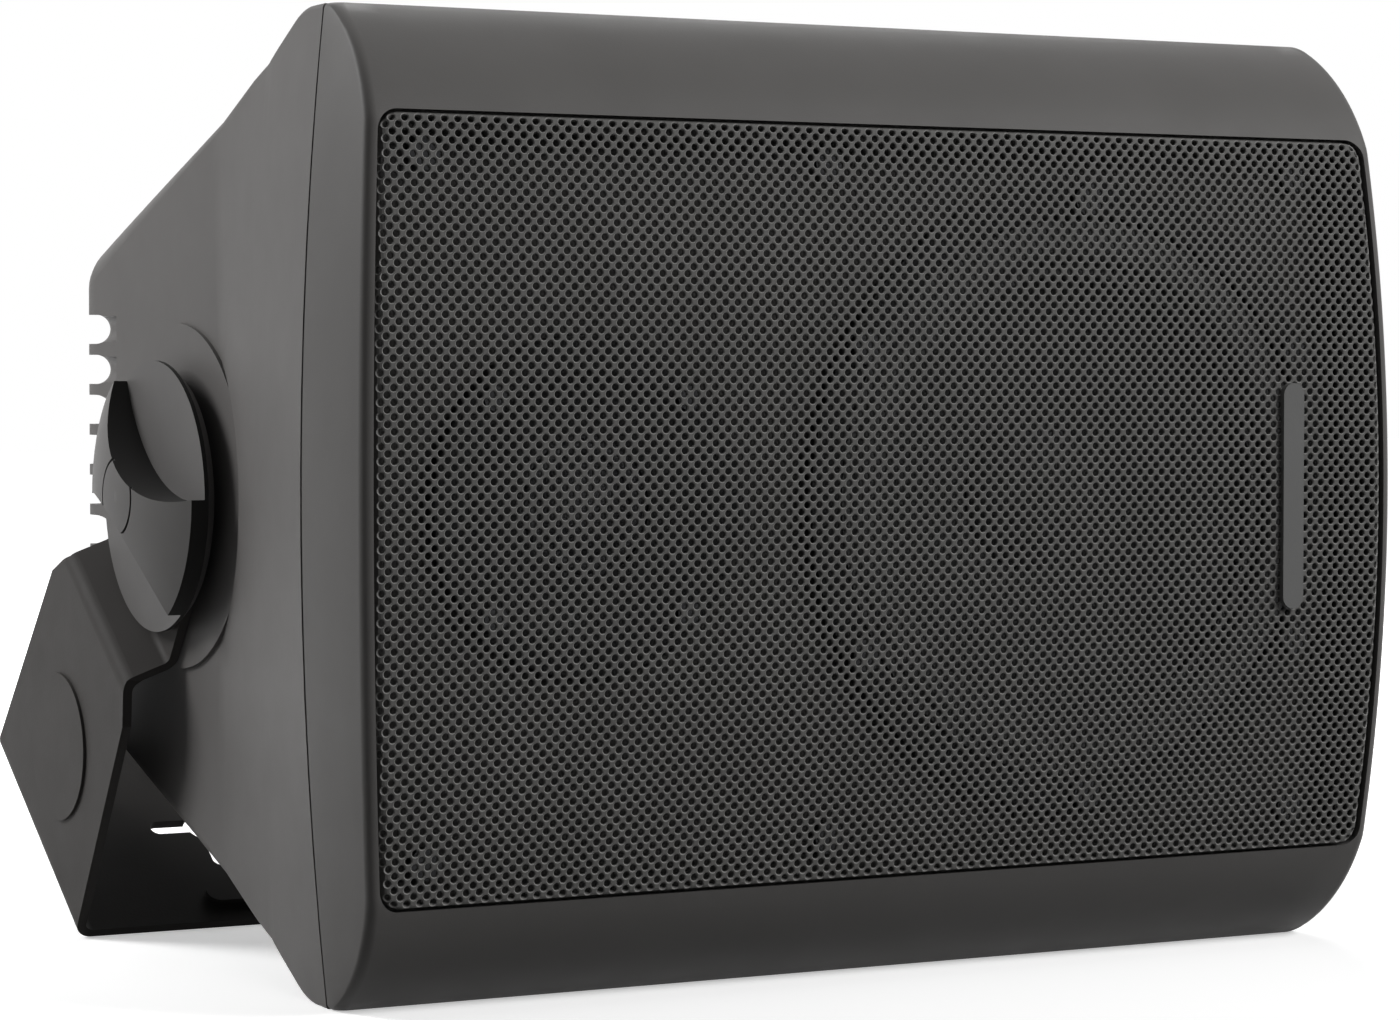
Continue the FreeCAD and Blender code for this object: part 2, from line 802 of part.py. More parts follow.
def build_front_baffle():
    """Bezel moulding: bulged front, crowned ends, a grille recess and the plate that takes the drivers."""
    body = new_body("front_baffle")
    side = new_sketch(body, "bezel_side", "YZ_Plane")
    edge = -front_edge_depth()
    low, high = dim.bezel_drop, dim.body_height - dim.bezel_drop
    trace(side, [
        (-dim.seal_gap, ZERO), (-dim.seal_gap, dim.body_height), (-dim.bezel_lip, dim.body_height),
        (edge, high, dim.bezel_round), (edge, low, dim.front_radius), (-dim.bezel_lip, ZERO, dim.bezel_round),
    ])
    pad(body, side, 2 * (end_middle + dim.wall), Midplane=True)
    ends = new_sketch(body, "bezel_ends", "XZ_Plane")
    box_outline(ends, 0, mid_height, end_middle + 2 * dim.wall, mid_height + 2 * dim.wall)
    bowed_box(ends, *flank_halves(ZERO), mid_height, dim.front_corner)
    pocket(body, ends)
    round_bezel_ends(body)
    recess = new_sketch(body, "grille_recess", "XZ_Plane", dim.grille_seat)
    grille_outline(recess, dim.grille_gap)
    pocket(body, recess, dim.front_bulge, Reversed=True)
    chamber = new_sketch(body, "driver_recess", "XZ_Plane", dim.baffle_front)
    grille_outline(chamber, -dim.ledge_width)
    pocket(body, chamber, dim.front_bulge, Reversed=True)
    core = new_sketch(body, "baffle_core", "XZ_Plane", baffle_back)
    round_box(core, 0, mid_height, dim.end_half - dim.baffle_end_inset,
              mid_height - dim.baffle_core_inset, dim.grille_corner)
    pocket(body, core, baffle_back)
    bosses = new_sketch(body, "baffle_bosses", "XZ_Plane", baffle_back)
    circles(bosses, post_places(), dim.baffle_boss)
    pad(body, bosses, baffle_back, Reversed=True)
    holes = new_sketch(body, "baffle_holes", "XZ_Plane", dim.baffle_front)
    circles(holes, post_places(), dim.screw_radius + dim.screw_gap)
    circle(holes, woofer_place, mid_height, dim.basket_mouth + dim.basket_gap)
    circle(holes, -dim.tweeter_place, mid_height, dim.motor_radius + dim.basket_gap)
    for places, centre, radius in driver_screws():
        circles(holes, [(centre + x, mid_height + z) for x, z in places], radius + dim.screw_gap)
    pocket(body, holes)
    return place(body)


def driver_screws():
    """The two bolt circles: their places, driver centres and screw radii."""
    woofer = polar_places(WOOFER_SCREWS, woofer_bolt_circle, HALF_TURN / WOOFER_SCREWS)
    tweeter = polar_places(TWEETER_SCREWS, dim.tweeter_bolt_circle, HALF_TURN / TWEETER_SCREWS)
    return [
        (woofer, woofer_place, dim.screw_radius),
        (tweeter, -dim.tweeter_place, dim.small_screw_radius),
    ]


def build_cabinet_seal():
    """Gasket in the parting line, set back from the outside."""
    body = new_body("cabinet_seal")
    ring = new_sketch(body, "seal_ring", "XZ_Plane")
    for inset in (dim.seal_inset, dim.seal_inset + dim.seal_width):
        corner, middle = flank_halves(ZERO)
        bowed_box(ring, corner - inset, middle - inset, mid_height - inset, dim.front_corner)
    pad(body, ring, dim.seal_gap)
    return place(body)


def grille_form(label, inset):
    """The grille's bulged form, from its seat to its front, or smaller by an inset."""
    body = new_body(label)
    outline = new_sketch(body, label + "_outline", "XZ_Plane", dim.grille_seat)
    grille_outline(outline, -inset)
    pad(body, outline, dim.front_bulge - dim.grille_seat + dim.grille_sheet)
    front = new_sketch(body, label + "_front", "YZ_Plane")
    bulged_block(front, dim.front_bulge - inset, dim.front_radius, -2 * dim.front_bulge)
    pocket(body, front)
    return body


def build_grille():
    """Pressed steel pan: a bulged sheet whose folded edge stands on the bezel's ledge."""
    pan = doc.addObject("Part::Cut", "grille")
    pan.Base = grille_form("grille_block", ZERO)
    pan.Tool = grille_form("grille_core", dim.grille_sheet)
    return place(pan)


def build_grille_badge():
    """Bare capsule that lies on the bulged sheet."""
    body = new_body("grille_badge")
    outline = new_sketch(body, "badge_outline", "XZ_Plane")
    capsule(outline, dim.badge_place, mid_height, dim.badge_half_length, dim.badge_half_width, upright=True)
    pad(body, outline, dim.front_bulge + dim.badge_height)
    behind = new_sketch(body, "badge_back", "YZ_Plane")
    bulged_block(behind, dim.front_bulge, dim.front_radius, dim.wall)
    pocket(body, behind)
    return place(body)


def build_baffle_screws():
    body = screw_group("baffle_screws", "XZ_Plane", post_places(), dim.screw_radius, dim.screw_head,
                       dim.screw_head_height, dim.screw_length, dim.baffle_front, False)
    return place(body)


# Levels of the woofer along its own axis, from the baffle's front face, forwards above zero
shelf_level = -dim.basket_shelf
floor_level = -dim.basket_floor
top_plate_level = floor_level - dim.basket_wall
magnet_level = top_plate_level - dim.top_plate_thickness
yoke_level = magnet_level - dim.magnet_thickness
coil_outer = dim.coil_inner + dim.coil_wall
neck_level = -dim.cone_neck_depth
edge_level = -dim.cone_edge_depth
step_level = dim.flange_thickness - dim.surround_step


def build_woofer_frame():
    """Basket: a flange with a step for the surround, a windowed wall, a spider shelf and a floor."""
    wall = dim.basket_wall
    inner_mouth = dim.basket_mouth - wall
    step_radius = dim.surround_outer + dim.surround_lip + wall / 2
    body = turned("woofer_frame", [
        (dim.magnet_bore, top_plate_level), (dim.shelf_inner + wall, top_plate_level),
        (dim.shelf_inner + wall, shelf_level - wall), (dim.shelf_outer, shelf_level - wall),
        (dim.basket_mouth, ZERO), (dim.flange_radius, ZERO),
        (dim.flange_radius, dim.flange_thickness), (step_radius, dim.flange_thickness),
        (step_radius, step_level), (inner_mouth, step_level),
        (dim.shelf_outer - wall, shelf_level), (dim.shelf_inner, shelf_level),
        (dim.shelf_inner, floor_level), (dim.magnet_bore, floor_level),
    ])
    window = new_sketch(body, "basket_window", "XZ_Plane")
    high, low = -2 * dim.window_margin, shelf_level + dim.window_margin
    box_outline(window, 0, (high + low) / 2, dim.window_width / 2, (high - low) / 2)
    cut = pocket(body, window, dim.flange_radius)
    windows = feature(body, "PolarPattern", "basket_windows", Originals=[cut], Angle=FULL_TURN,
                      Occurrences=dim.window_count)
    windows.Axis = (plane_of(body, "Z_Axis"), [""])
    body.Tip = windows
    holes = new_sketch(body, "flange_holes", "XY_Plane")
    circles(holes, driver_screws()[0][0], dim.screw_radius + dim.screw_gap)
    pocket(body, holes, dim.flange_thickness, Reversed=True)
    return place_driver(body, woofer_place)


def build_woofer_surround():
    """Half roll of rubber between the cone's edge and the flange's step."""
    sheet_size, lip = dim.surround_sheet, dim.surround_lip
    inner, outer = dim.cone_edge_radius, dim.surround_outer
    rise = step_level - edge_level
    span = outer - inner
    clear = span - 2 * sheet_size
    outside = root(span * span + rise * rise) / 2 + dim.roll_slack
    inside = root(clear * clear + rise * rise) / 2 + dim.roll_slack
    body = turned("woofer_surround", [
        (inner - lip, edge_level), (inner + sheet_size, edge_level),
        (outer - sheet_size, step_level, -inside),
        (outer + lip, step_level), (outer + lip, step_level + sheet_size), (outer, step_level + sheet_size),
        (inner, edge_level + sheet_size, outside), (inner - lip, edge_level + sheet_size),
    ])
    return place_driver(body, woofer_place)


def build_woofer_cone():
    body = turned("woofer_cone", [
        (coil_outer, neck_level), (dim.cone_edge_radius, edge_level - dim.cone_thickness, dim.cone_curve),
        (dim.cone_edge_radius, edge_level), (coil_outer, neck_level + dim.cone_thickness, -dim.cone_curve),
    ])
    return place_driver(body, woofer_place)


def build_woofer_dust_cap():
    """Dome over the coil, seated on the cone."""
    pitch = (edge_level - neck_level) / (dim.cone_edge_radius - coil_outer)
    seat = neck_level + dim.cone_thickness + (dim.cap_radius - coil_outer) * pitch
    dome = bow_radius(dim.cap_radius, dim.cap_height)
    inner = dim.cap_radius - dim.cone_thickness
    body = turned("woofer_dust_cap", [
        (inner, seat, -bow_radius(inner, dim.cap_height - dim.cone_thickness)), (dim.cap_radius, seat),
        (ZERO, seat + dim.cap_height, dome), (ZERO, seat + dim.cap_height - dim.cone_thickness),
    ])
    return place_driver(body, woofer_place)


def build_woofer_voice_coil():
    low = magnet_level - dim.coil_overhang
    high = neck_level + dim.cone_thickness
    body = turned("woofer_voice_coil", [
        (dim.coil_inner, low), (coil_outer, low), (coil_outer, high), (dim.coil_inner, high),
    ])
    return place_driver(body, woofer_place)


def build_woofer_spider():
    """Corrugated cloth disc between the coil and the basket's shelf."""
    count = SPIDER_WAVES
    pitch = (dim.shelf_inner - coil_outer) / (count + 1)
    start = coil_outer + pitch / 2
    bend = pitch * SPIDER_BEND
    under = [(coil_outer, shelf_level), (start, shelf_level)]
    signs = [-1 if wave % 2 else 1 for wave in range(count)]
    under += [(start + pitch * (wave + 1), shelf_level, bend * signs[wave]) for wave in range(count)]
    outer = (dim.shelf_inner + dim.shelf_outer) / 2 - dim.basket_wall / 2
    over_level = shelf_level + dim.spider_sheet
    over = [(outer, shelf_level), (outer, over_level), (start + pitch * count, over_level)]
    over += [(start + pitch * wave, over_level, bend * -signs[wave]) for wave in reversed(range(count))]
    body = turned("woofer_spider", under + over + [(coil_outer, over_level)])
    return place_driver(body, woofer_place)


def build_woofer_motor():
    """Top plate, ring magnet and yoke, stacked behind the basket's floor."""
    gap_radius = coil_outer + dim.coil_gap
    plate = turned("woofer_top_plate", [
        (gap_radius, magnet_level), (dim.top_plate_radius, magnet_level),
        (dim.top_plate_radius, top_plate_level), (gap_radius, top_plate_level),
    ])
    magnet = turned("woofer_magnet", [
        (dim.magnet_bore, yoke_level), (dim.magnet_radius, yoke_level),
        (dim.magnet_radius, magnet_level), (dim.magnet_bore, magnet_level),
    ])
    back = yoke_level - dim.yoke_thickness
    yoke = turned("woofer_back_plate", [
        (dim.pole_vent, back), (dim.yoke_radius, back), (dim.yoke_radius, yoke_level),
        (dim.pole_radius, yoke_level), (dim.pole_radius, top_plate_level), (dim.pole_vent, top_plate_level),
    ])
    return [place_driver(piece, woofer_place) for piece in (plate, magnet, yoke)]


def build_woofer_screws():
    body = screw_group("woofer_screws", "XY_Plane", driver_screws()[0][0], dim.screw_radius, dim.screw_head,
                       dim.screw_head_height, dim.woofer_screw_length, dim.flange_thickness, False)
    return place_driver(body, woofer_place)


def build_tweeter_faceplate():
    """Round plate with a shallow flare round the dome."""
    edge = dim.plate_thickness / 4
    flare_end = dim.tweeter_bolt_circle - dim.small_screw_head - edge
    body = turned("tweeter_faceplate", [
        (dim.plate_throat, ZERO), (dim.plate_radius, ZERO), (dim.plate_radius, dim.plate_thickness - edge),
        (dim.plate_radius - edge, dim.plate_thickness, edge), (flare_end, dim.plate_thickness),
        (dim.plate_throat, edge, -dim.plate_flare),
    ])
    holes = new_sketch(body, "plate_holes", "XY_Plane")
    circles(holes, driver_screws()[1][0], dim.small_screw_radius + dim.screw_gap)
    pocket(body, holes, dim.plate_thickness, Reversed=True)
    return place_driver(body, -dim.tweeter_place)


def build_tweeter_dome():
    """One membrane: dome, half roll and a lip clamped between the faceplate and the motor."""
    skin = dim.dome_sheet
    roll_outer = dim.dome_radius + 2 * dim.dome_roll
    lip = (dim.plate_throat + dim.motor_radius) / 2
    roll = dim.dome_roll + dim.roll_slack
    dome = bow_radius(dim.dome_radius, dim.dome_height)
    body = turned("tweeter_dome", [
        (ZERO, dim.dome_height - skin), (dim.dome_radius, -skin, -dome), (roll_outer, -skin, -roll),
        (lip, -skin), (lip, ZERO), (roll_outer, ZERO), (dim.dome_radius, ZERO, roll),
        (ZERO, dim.dome_height, dome),
    ])
    return place_driver(body, -dim.tweeter_place)


def build_tweeter_motor():
    """Closed motor behind the dome: front plate, magnet and back plate, with a recess under the dome."""
    front = -dim.dome_sheet
    back = front - dim.motor_depth
    magnet = dim.motor_radius - dim.motor_step
    recess = dim.plate_throat
    plate_back = front - dim.motor_plate
    magnet_back = back + dim.motor_plate
    body = turned("tweeter_motor", [
        (ZERO, back), (magnet - dim.motor_step, back), (magnet - dim.motor_step, magnet_back),
        (magnet, magnet_back),
        (magnet, plate_back), (dim.motor_radius, plate_back), (dim.motor_radius, front),
        (recess, front), (recess, front - dim.motor_recess), (ZERO, front - dim.motor_recess),
    ])
    return place_driver(body, -dim.tweeter_place)


def build_tweeter_screws():
    body = screw_group("tweeter_screws", "XY_Plane", driver_screws()[1][0], dim.small_screw_radius,
                       dim.small_screw_head, dim.small_screw_head_height, dim.tweeter_screw_length,
                       dim.plate_thickness, False)
    return place_driver(body, -dim.tweeter_place)


def build_knob(label):
    """Domed clamping knob, chamfered to clear the joggle: two scoops leave a grip across it."""
    dome = bow_radius(dim.knob_radius, dim.knob_top - dim.knob_rim)
    body = turned(label, [
        (dim.stud_radius, ZERO), (joggle_start - dim.joggle_gap, ZERO),
        (dim.knob_radius, dim.knob_lap + dim.joggle_gap), (dim.knob_radius, dim.knob_rim),
        (ZERO, dim.knob_top, dome), (ZERO, dim.stud_grip), (dim.stud_radius, dim.stud_grip),
    ])
    reach = dim.scoop_radius + dim.grip_half_width
    scoop = new_sketch(body, label + "_scoop", "XY_Plane", dim.knob_floor)
    circle(scoop, reach * cosine(dim.scoop_turn), reach * sine(dim.scoop_turn), dim.scoop_radius)
    scooped = pocket(body, scoop, dim.knob_top, Reversed=True)
    pair = feature(body, "PolarPattern", label + "_scoops", Originals=[scooped], Angle=FULL_TURN,
                   Occurrences=KNOB_SCOOPS)
    pair.Axis = (plane_of(body, "Z_Axis"), [""])
    body.Tip = pair
    ring = new_sketch(body, label + "_ring", "XY_Plane", dim.knob_top)
    circle(ring, 0, 0, dim.knob_ring)
    circle(ring, 0, 0, dim.knob_ring - dim.knob_ring_width)
    pocket(body, ring, dim.knob_ring_depth + sagitta(dome, dim.knob_ring))
    return body


def build_stud(label):
    low = seat_level - knob_level - dim.stud_reach
    return turned(label, [
        (ZERO, low), (dim.stud_radius, low), (dim.stud_radius, dim.stud_grip), (ZERO, dim.stud_grip),
    ])


def build_insert(label):
    bore = dim.stud_radius + dim.stud_gap
    return turned(label, [
        (bore, -dim.insert_length), (dim.insert_radius, -dim.insert_length),
        (dim.insert_radius, ZERO), (bore, ZERO),
    ])


def build_pivots():
    """A knob with its stud, and the insert that it screws into, on each end."""
    pieces = []
    for side, name in ((-1, "left"), (1, "right")):
        for maker, label, level in (
            (build_knob, "knob_", knob_level), (build_stud, "knob_stud_", knob_level),
            (build_insert, "threaded_insert_", seat_level),
        ):
            piece = maker(label + name)
            turn = measure(side * QUARTER_TURN)
            pieces.append(place(piece, side * level, dim.pivot_depth, mid_height, (0, 1, 0), turn))
    return pieces


def bracket_strip(body):
    """The folded sheet seen along its bends: tabs, joggles, arms and the base."""
    outer, inner = bracket_half_span, bracket_half_span - dim.bracket_sheet
    tab_out, tab_in = tab_level + dim.bracket_sheet, tab_level
    slant = arc_tangent((outer - tab_out) / (joggle_end - joggle_start))
    shift = dim.bracket_sheet * tangent(slant / 2)
    start, end, reach = joggle_start, joggle_end, bracket_reach
    bend, tight = dim.bend_radius, dim.bend_radius - dim.bracket_sheet
    tip = -dim.tab_radius
    strip = new_sketch(body, "bracket_strip", "XY_Plane")
    trace(strip, [
        (tab_out, tip), (tab_out, start), (outer, end), (outer, reach - bend),
        (outer - bend, reach, bend), (bend - outer, reach), (-outer, reach - bend, bend),
        (-outer, end), (-tab_out, start), (-tab_out, tip),
        (-tab_in, tip), (-tab_in, start + shift), (-inner, end + shift), (-inner, reach - bend),
        (bend - outer, reach - dim.bracket_sheet, -tight), (outer - bend, reach - dim.bracket_sheet),
        (inner, reach - bend, -tight), (inner, end + shift), (tab_in, start + shift), (tab_in, tip),
    ])
    strip_pad = pad(body, strip, 2 * dim.bracket_half_width, Midplane=True)
    doc.recompute()
    close_bends = [(tab_out, start), (inner, end + shift)]
    wide_bends = [(tab_in, start + shift), (outer, end)]
    base = strip_pad
    for name, bends, radius in (("joggle_close", close_bends, dim.joggle_radius),
                                ("joggle_wide", wide_bends, dim.joggle_radius + dim.bracket_sheet)):
        spots = [(x.value, y.value) for x, y in bends]
        edges = edges_on(base.Shape, lambda point: any(
            abs(abs(point.x) - x) < TOLERANCE and abs(point.y - y) < TOLERANCE for x, y in spots))
        base = feature(body, "Fillet", name, Base=(base, edges), Radius=radius)
        doc.recompute()


def build_bracket():
    """Sheet steel U bracket about its pivot: X across, Y from the pivot to the base."""
    body = new_body("bracket")
    bracket_strip(body)
    reach, half = bracket_reach, dim.bracket_half_width
    margin = dim.bend_radius
    trim = new_sketch(body, "arm_outline", "YZ_Plane")
    tab = dim.tab_radius
    box_outline(trim, (reach - tab) / 2, 0, (reach + tab) / 2 + 2 * margin, half + 2 * margin)
    shoulder = dim.shoulder_half_width
    trace(trim, [
        (ZERO, -tab, tab), (joggle_end, -tab), (shoulder_reach, -shoulder), (reach - margin, -half),
        (reach + margin, -half), (reach + margin, half), (reach - margin, half), (shoulder_reach, shoulder),
        (joggle_end, tab), (ZERO, tab), (-tab, ZERO, tab),
    ])
    pocket(body, trim)
    hole = new_sketch(body, "tab_hole", "YZ_Plane")
    circle(hole, 0, 0, dim.stud_radius + dim.tab_hole_gap)
    pocket(body, hole)
    disc = new_sketch(body, "arm_emboss", "YZ_Plane", bracket_half_span)
    circle(disc, dim.emboss_reach, 0, dim.emboss_radius)
    raised = pad(body, disc, dim.emboss_rise)
    dent = new_sketch(body, "arm_dent", "YZ_Plane", bracket_half_span - dim.bracket_sheet)
    circle(dent, dim.emboss_reach, 0, dim.emboss_radius - dim.emboss_rise)
    sunk = pocket(body, dent, dim.emboss_rise, Reversed=True)
    mirrored(body, [raised, sunk], "YZ_Plane")
    for name, upright in (("cross_slots", False), ("cross_uprights", True)):
        slots = new_sketch(body, name, "XZ_Plane")
        for side in (-1, 1):
            capsule(slots, side * dim.cross_place, 0, dim.cross_arm, dim.cross_half_width, upright)
        pocket(body, slots)
    holes = new_sketch(body, "base_holes", "XZ_Plane")
    for side in (-1, 1):
        circle(holes, side * dim.cross_place, 0, dim.cross_hub)
        circle(holes, side * dim.wall_hole_place, 0, dim.wall_hole_radius)
    pocket(body, holes)
    ridge = new_sketch(body, "base_ridges", "XZ_Plane", dim.bracket_sheet - reach)
    furrow = new_sketch(body, "base_furrows", "XZ_Plane", -reach)
    length, width = dim.rib_half_length, dim.rib_half_width
    for side in (-1, 1):
        capsule(ridge, 0, side * dim.rib_place, length, width)
        capsule(furrow, 0, side * dim.rib_place, length - dim.rib_rise, width - dim.rib_rise)
    pad(body, ridge, dim.rib_rise)
    pocket(body, furrow, dim.rib_rise, Reversed=True)
    return place(body, 0, dim.pivot_depth, mid_height, (1, 0, 0), -bracket_tilt)


def build_terminal_panel():
    """Plate with a dished middle that sets the terminals back from the rear."""
    body = new_body("terminal_panel")
    plate = new_sketch(body, "panel_plate", "XZ_Plane", -panel_seat)
    round_box(plate, 0, mid_height, dim.panel_half_length, dim.panel_half_height, dim.panel_corner)
    pad(body, plate, dim.panel_thickness, Reversed=True)
    dish = new_sketch(body, "panel_dish", "XZ_Plane", -panel_seat)
    wall = dim.dish_wall
    round_box(dish, 0, mid_height, dim.dish_half_length + wall, dim.dish_half_height + wall, dim.panel_corner)
    pad(body, dish, dim.dish_depth)
    hollow = new_sketch(body, "panel_hollow", "XZ_Plane", -dish_floor)
    round_box(hollow, 0, mid_height, dim.dish_half_length, dim.dish_half_height, dim.panel_corner)
    pocket(body, hollow, dim.dish_depth + dim.panel_thickness)
    holes = circles(new_sketch(body, "panel_holes", "XZ_Plane", -panel_seat), panel_screw_places(),
                    dim.small_screw_radius + dim.screw_gap)
    pocket(body, holes, dim.panel_thickness)
    return place(body)


def build_terminal_block():
    """Screw terminals: a row of wire entries below a row of clamp screws."""
    body = new_body("terminal_block")
    outline = new_sketch(body, "block_outline", "XZ_Plane", -dish_floor)
    box_outline(outline, 0, mid_height, dim.block_half_length, dim.block_half_height)
    pad(body, outline, dim.block_depth, Reversed=True)
    poles = int(dim.pole_count.value)
    pitch = 2 * dim.block_half_length / dim.pole_count
    entries = new_sketch(body, "block_entries", "XZ_Plane", -(dish_floor + dim.block_depth))
    for pole in range(poles):
        x = pitch * (pole + 0.5) - dim.block_half_length
        box_outline(entries, x, mid_height - dim.block_half_height / 2, dim.pole_hole, dim.pole_hole)
        circle(entries, x, mid_height + dim.block_half_height / 2, dim.pole_hole)
    pocket(body, entries, dim.block_depth / 2, Reversed=True)
    return place(body)


def build_terminal_screws():
    body = screw_group("terminal_screws", "XZ_Plane", panel_screw_places(), dim.small_screw_radius,
                       dim.small_screw_head, dim.small_screw_head_height, dim.panel_screw_length,
                       -(panel_seat + dim.panel_thickness), True)
    return place(body)


def build_crossover():
    """Board on four standoffs, with a coil, a capacitor and a resistor on its front."""
    board = new_body("crossover_board")
    outline = new_sketch(board, "board_outline", "XZ_Plane", dim.standoff_height - cavity_rear)
    box_outline(outline, -dim.board_centre, mid_height, dim.board_half_length, dim.board_half_height)
    circles(outline, standoff_places(), dim.small_screw_radius + dim.screw_gap)
    pad(board, outline, dim.board_thickness)
    spacing = dim.board_margin
    left = -dim.board_centre - dim.board_half_length
    right = -dim.board_centre + dim.board_half_length
    inductor = new_body("crossover_inductor")
    ring = new_sketch(inductor, "inductor_ring", "XZ_Plane", -board_front)
    for radius in (dim.inductor_radius, dim.inductor_bore):
        circle(ring, left + spacing + dim.inductor_radius, mid_height + spacing * 2, radius)
    pad(inductor, ring, dim.inductor_height)
    capacitor = new_body("crossover_capacitor")
    end = new_sketch(capacitor, "capacitor_end", "YZ_Plane", -dim.board_centre - dim.capacitor_length / 2)
    low = mid_height - dim.board_half_height + dim.capacitor_radius + spacing
    circle(end, board_front - dim.capacitor_radius, low, dim.capacitor_radius)
    pad(capacitor, end, dim.capacitor_length)
    resistor = new_body("crossover_resistor")
    half = dim.resistor_width / 2
    block = new_sketch(resistor, "resistor_block", "XZ_Plane", -board_front)
    box_outline(block, right - spacing - half, mid_height + spacing, half, dim.resistor_length / 2)
    pad(resistor, block, dim.resistor_width)
    screws = screw_group("crossover_screws", "XZ_Plane", standoff_places(), dim.small_screw_radius,
                         dim.small_screw_head, dim.small_screw_head_height, dim.board_screw_length,
                         -board_front, False)
    return [place(piece) for piece in (board, inductor, capacitor, resistor, screws)]


parts = [
    build_rear_cabinet(), build_front_baffle(), build_cabinet_seal(), build_grille(), build_grille_badge(),
    build_baffle_screws(), build_woofer_frame(), build_woofer_surround(), build_woofer_cone(),
    build_woofer_dust_cap(), build_woofer_voice_coil(), build_woofer_spider(), *build_woofer_motor(),
    build_woofer_screws(), build_tweeter_faceplate(), build_tweeter_dome(), build_tweeter_motor(),
    build_tweeter_screws(), *build_pivots(), build_bracket(), build_terminal_panel(), build_terminal_block(),
    build_terminal_screws(), *build_crossover(),
]
doc.recompute()

failed = [item.Label for item in doc.Objects if "Invalid" in item.State or "Error" in item.State]
broken = [part.Label for part in parts if part.Shape.isNull() or not part.Shape.isValid()]
if failed or broken:
    raise SystemExit(f"failed features: {failed}; broken shapes: {broken}")

os.makedirs("parts", exist_ok=True)
for part in parts:
    part.Shape.exportStep(f"parts/{part.Label}.step")
    print(part.Label, len(part.Shape.Solids), round(part.Shape.Volume))
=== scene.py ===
import json
import math

import bmesh
import bpy
import numpy as np
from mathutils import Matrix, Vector
from mathutils.geometry import delaunay_2d_cdt

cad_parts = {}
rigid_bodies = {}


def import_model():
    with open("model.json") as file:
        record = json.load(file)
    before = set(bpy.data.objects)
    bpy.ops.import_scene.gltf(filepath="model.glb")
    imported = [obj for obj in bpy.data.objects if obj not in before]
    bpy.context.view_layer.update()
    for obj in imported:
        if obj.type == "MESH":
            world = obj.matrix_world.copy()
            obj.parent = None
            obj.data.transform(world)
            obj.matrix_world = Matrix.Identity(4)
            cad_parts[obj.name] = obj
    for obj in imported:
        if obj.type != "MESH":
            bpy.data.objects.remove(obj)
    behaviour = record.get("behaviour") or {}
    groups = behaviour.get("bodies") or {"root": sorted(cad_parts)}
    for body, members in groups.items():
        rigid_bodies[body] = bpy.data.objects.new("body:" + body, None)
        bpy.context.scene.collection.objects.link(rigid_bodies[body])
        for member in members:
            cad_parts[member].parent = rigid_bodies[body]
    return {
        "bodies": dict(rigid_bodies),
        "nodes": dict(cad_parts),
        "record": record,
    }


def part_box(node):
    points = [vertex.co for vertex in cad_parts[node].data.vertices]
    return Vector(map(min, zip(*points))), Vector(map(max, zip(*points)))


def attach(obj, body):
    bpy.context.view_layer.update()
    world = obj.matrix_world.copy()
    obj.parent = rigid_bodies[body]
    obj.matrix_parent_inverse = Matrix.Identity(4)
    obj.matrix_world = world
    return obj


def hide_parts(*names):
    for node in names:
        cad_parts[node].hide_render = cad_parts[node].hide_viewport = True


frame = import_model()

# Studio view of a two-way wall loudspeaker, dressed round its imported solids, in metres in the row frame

MM = 0.001
QUARTER_TURN = math.pi / 2
nodes = frame["nodes"]
slot_of = {entry["node"]: entry["material_slot"] for entry in frame["record"]["subparts"]}

own = set(nodes.values()) | set(frame["bodies"].values())
for thing in list(bpy.data.objects):
    if thing not in own:
        bpy.data.objects.remove(thing)
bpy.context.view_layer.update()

# Sizes read from the frame

grille_low, grille_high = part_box("grille")
bezel_low, bezel_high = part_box("front_baffle")
grille_front = grille_low.y
grille_half_length = grille_high.x
grille_half_height = (grille_high.z - grille_low.z) / 2
parting = bezel_high.y
front_bulge = parting - bezel_low.y
mid_height = (bezel_low.z + bezel_high.z) / 2
half_height = (bezel_high.z - bezel_low.z) / 2


# Node trees

def map_range(tree, source, low, high):
    """A node that spreads a source between nought and one over low to high."""
    node = tree.nodes.new("ShaderNodeMapRange")
    node.inputs["To Min"].default_value = low
    node.inputs["To Max"].default_value = high
    tree.links.new(source, node.inputs["Value"])
    return node


def calculate(tree, operation, first, second):
    """The outcome of a math node on two sockets."""
    node = tree.nodes.new("ShaderNodeMath")
    node.operation = operation
    tree.links.new(first, node.inputs[0])
    tree.links.new(second, node.inputs[1])
    return node.outputs[0]


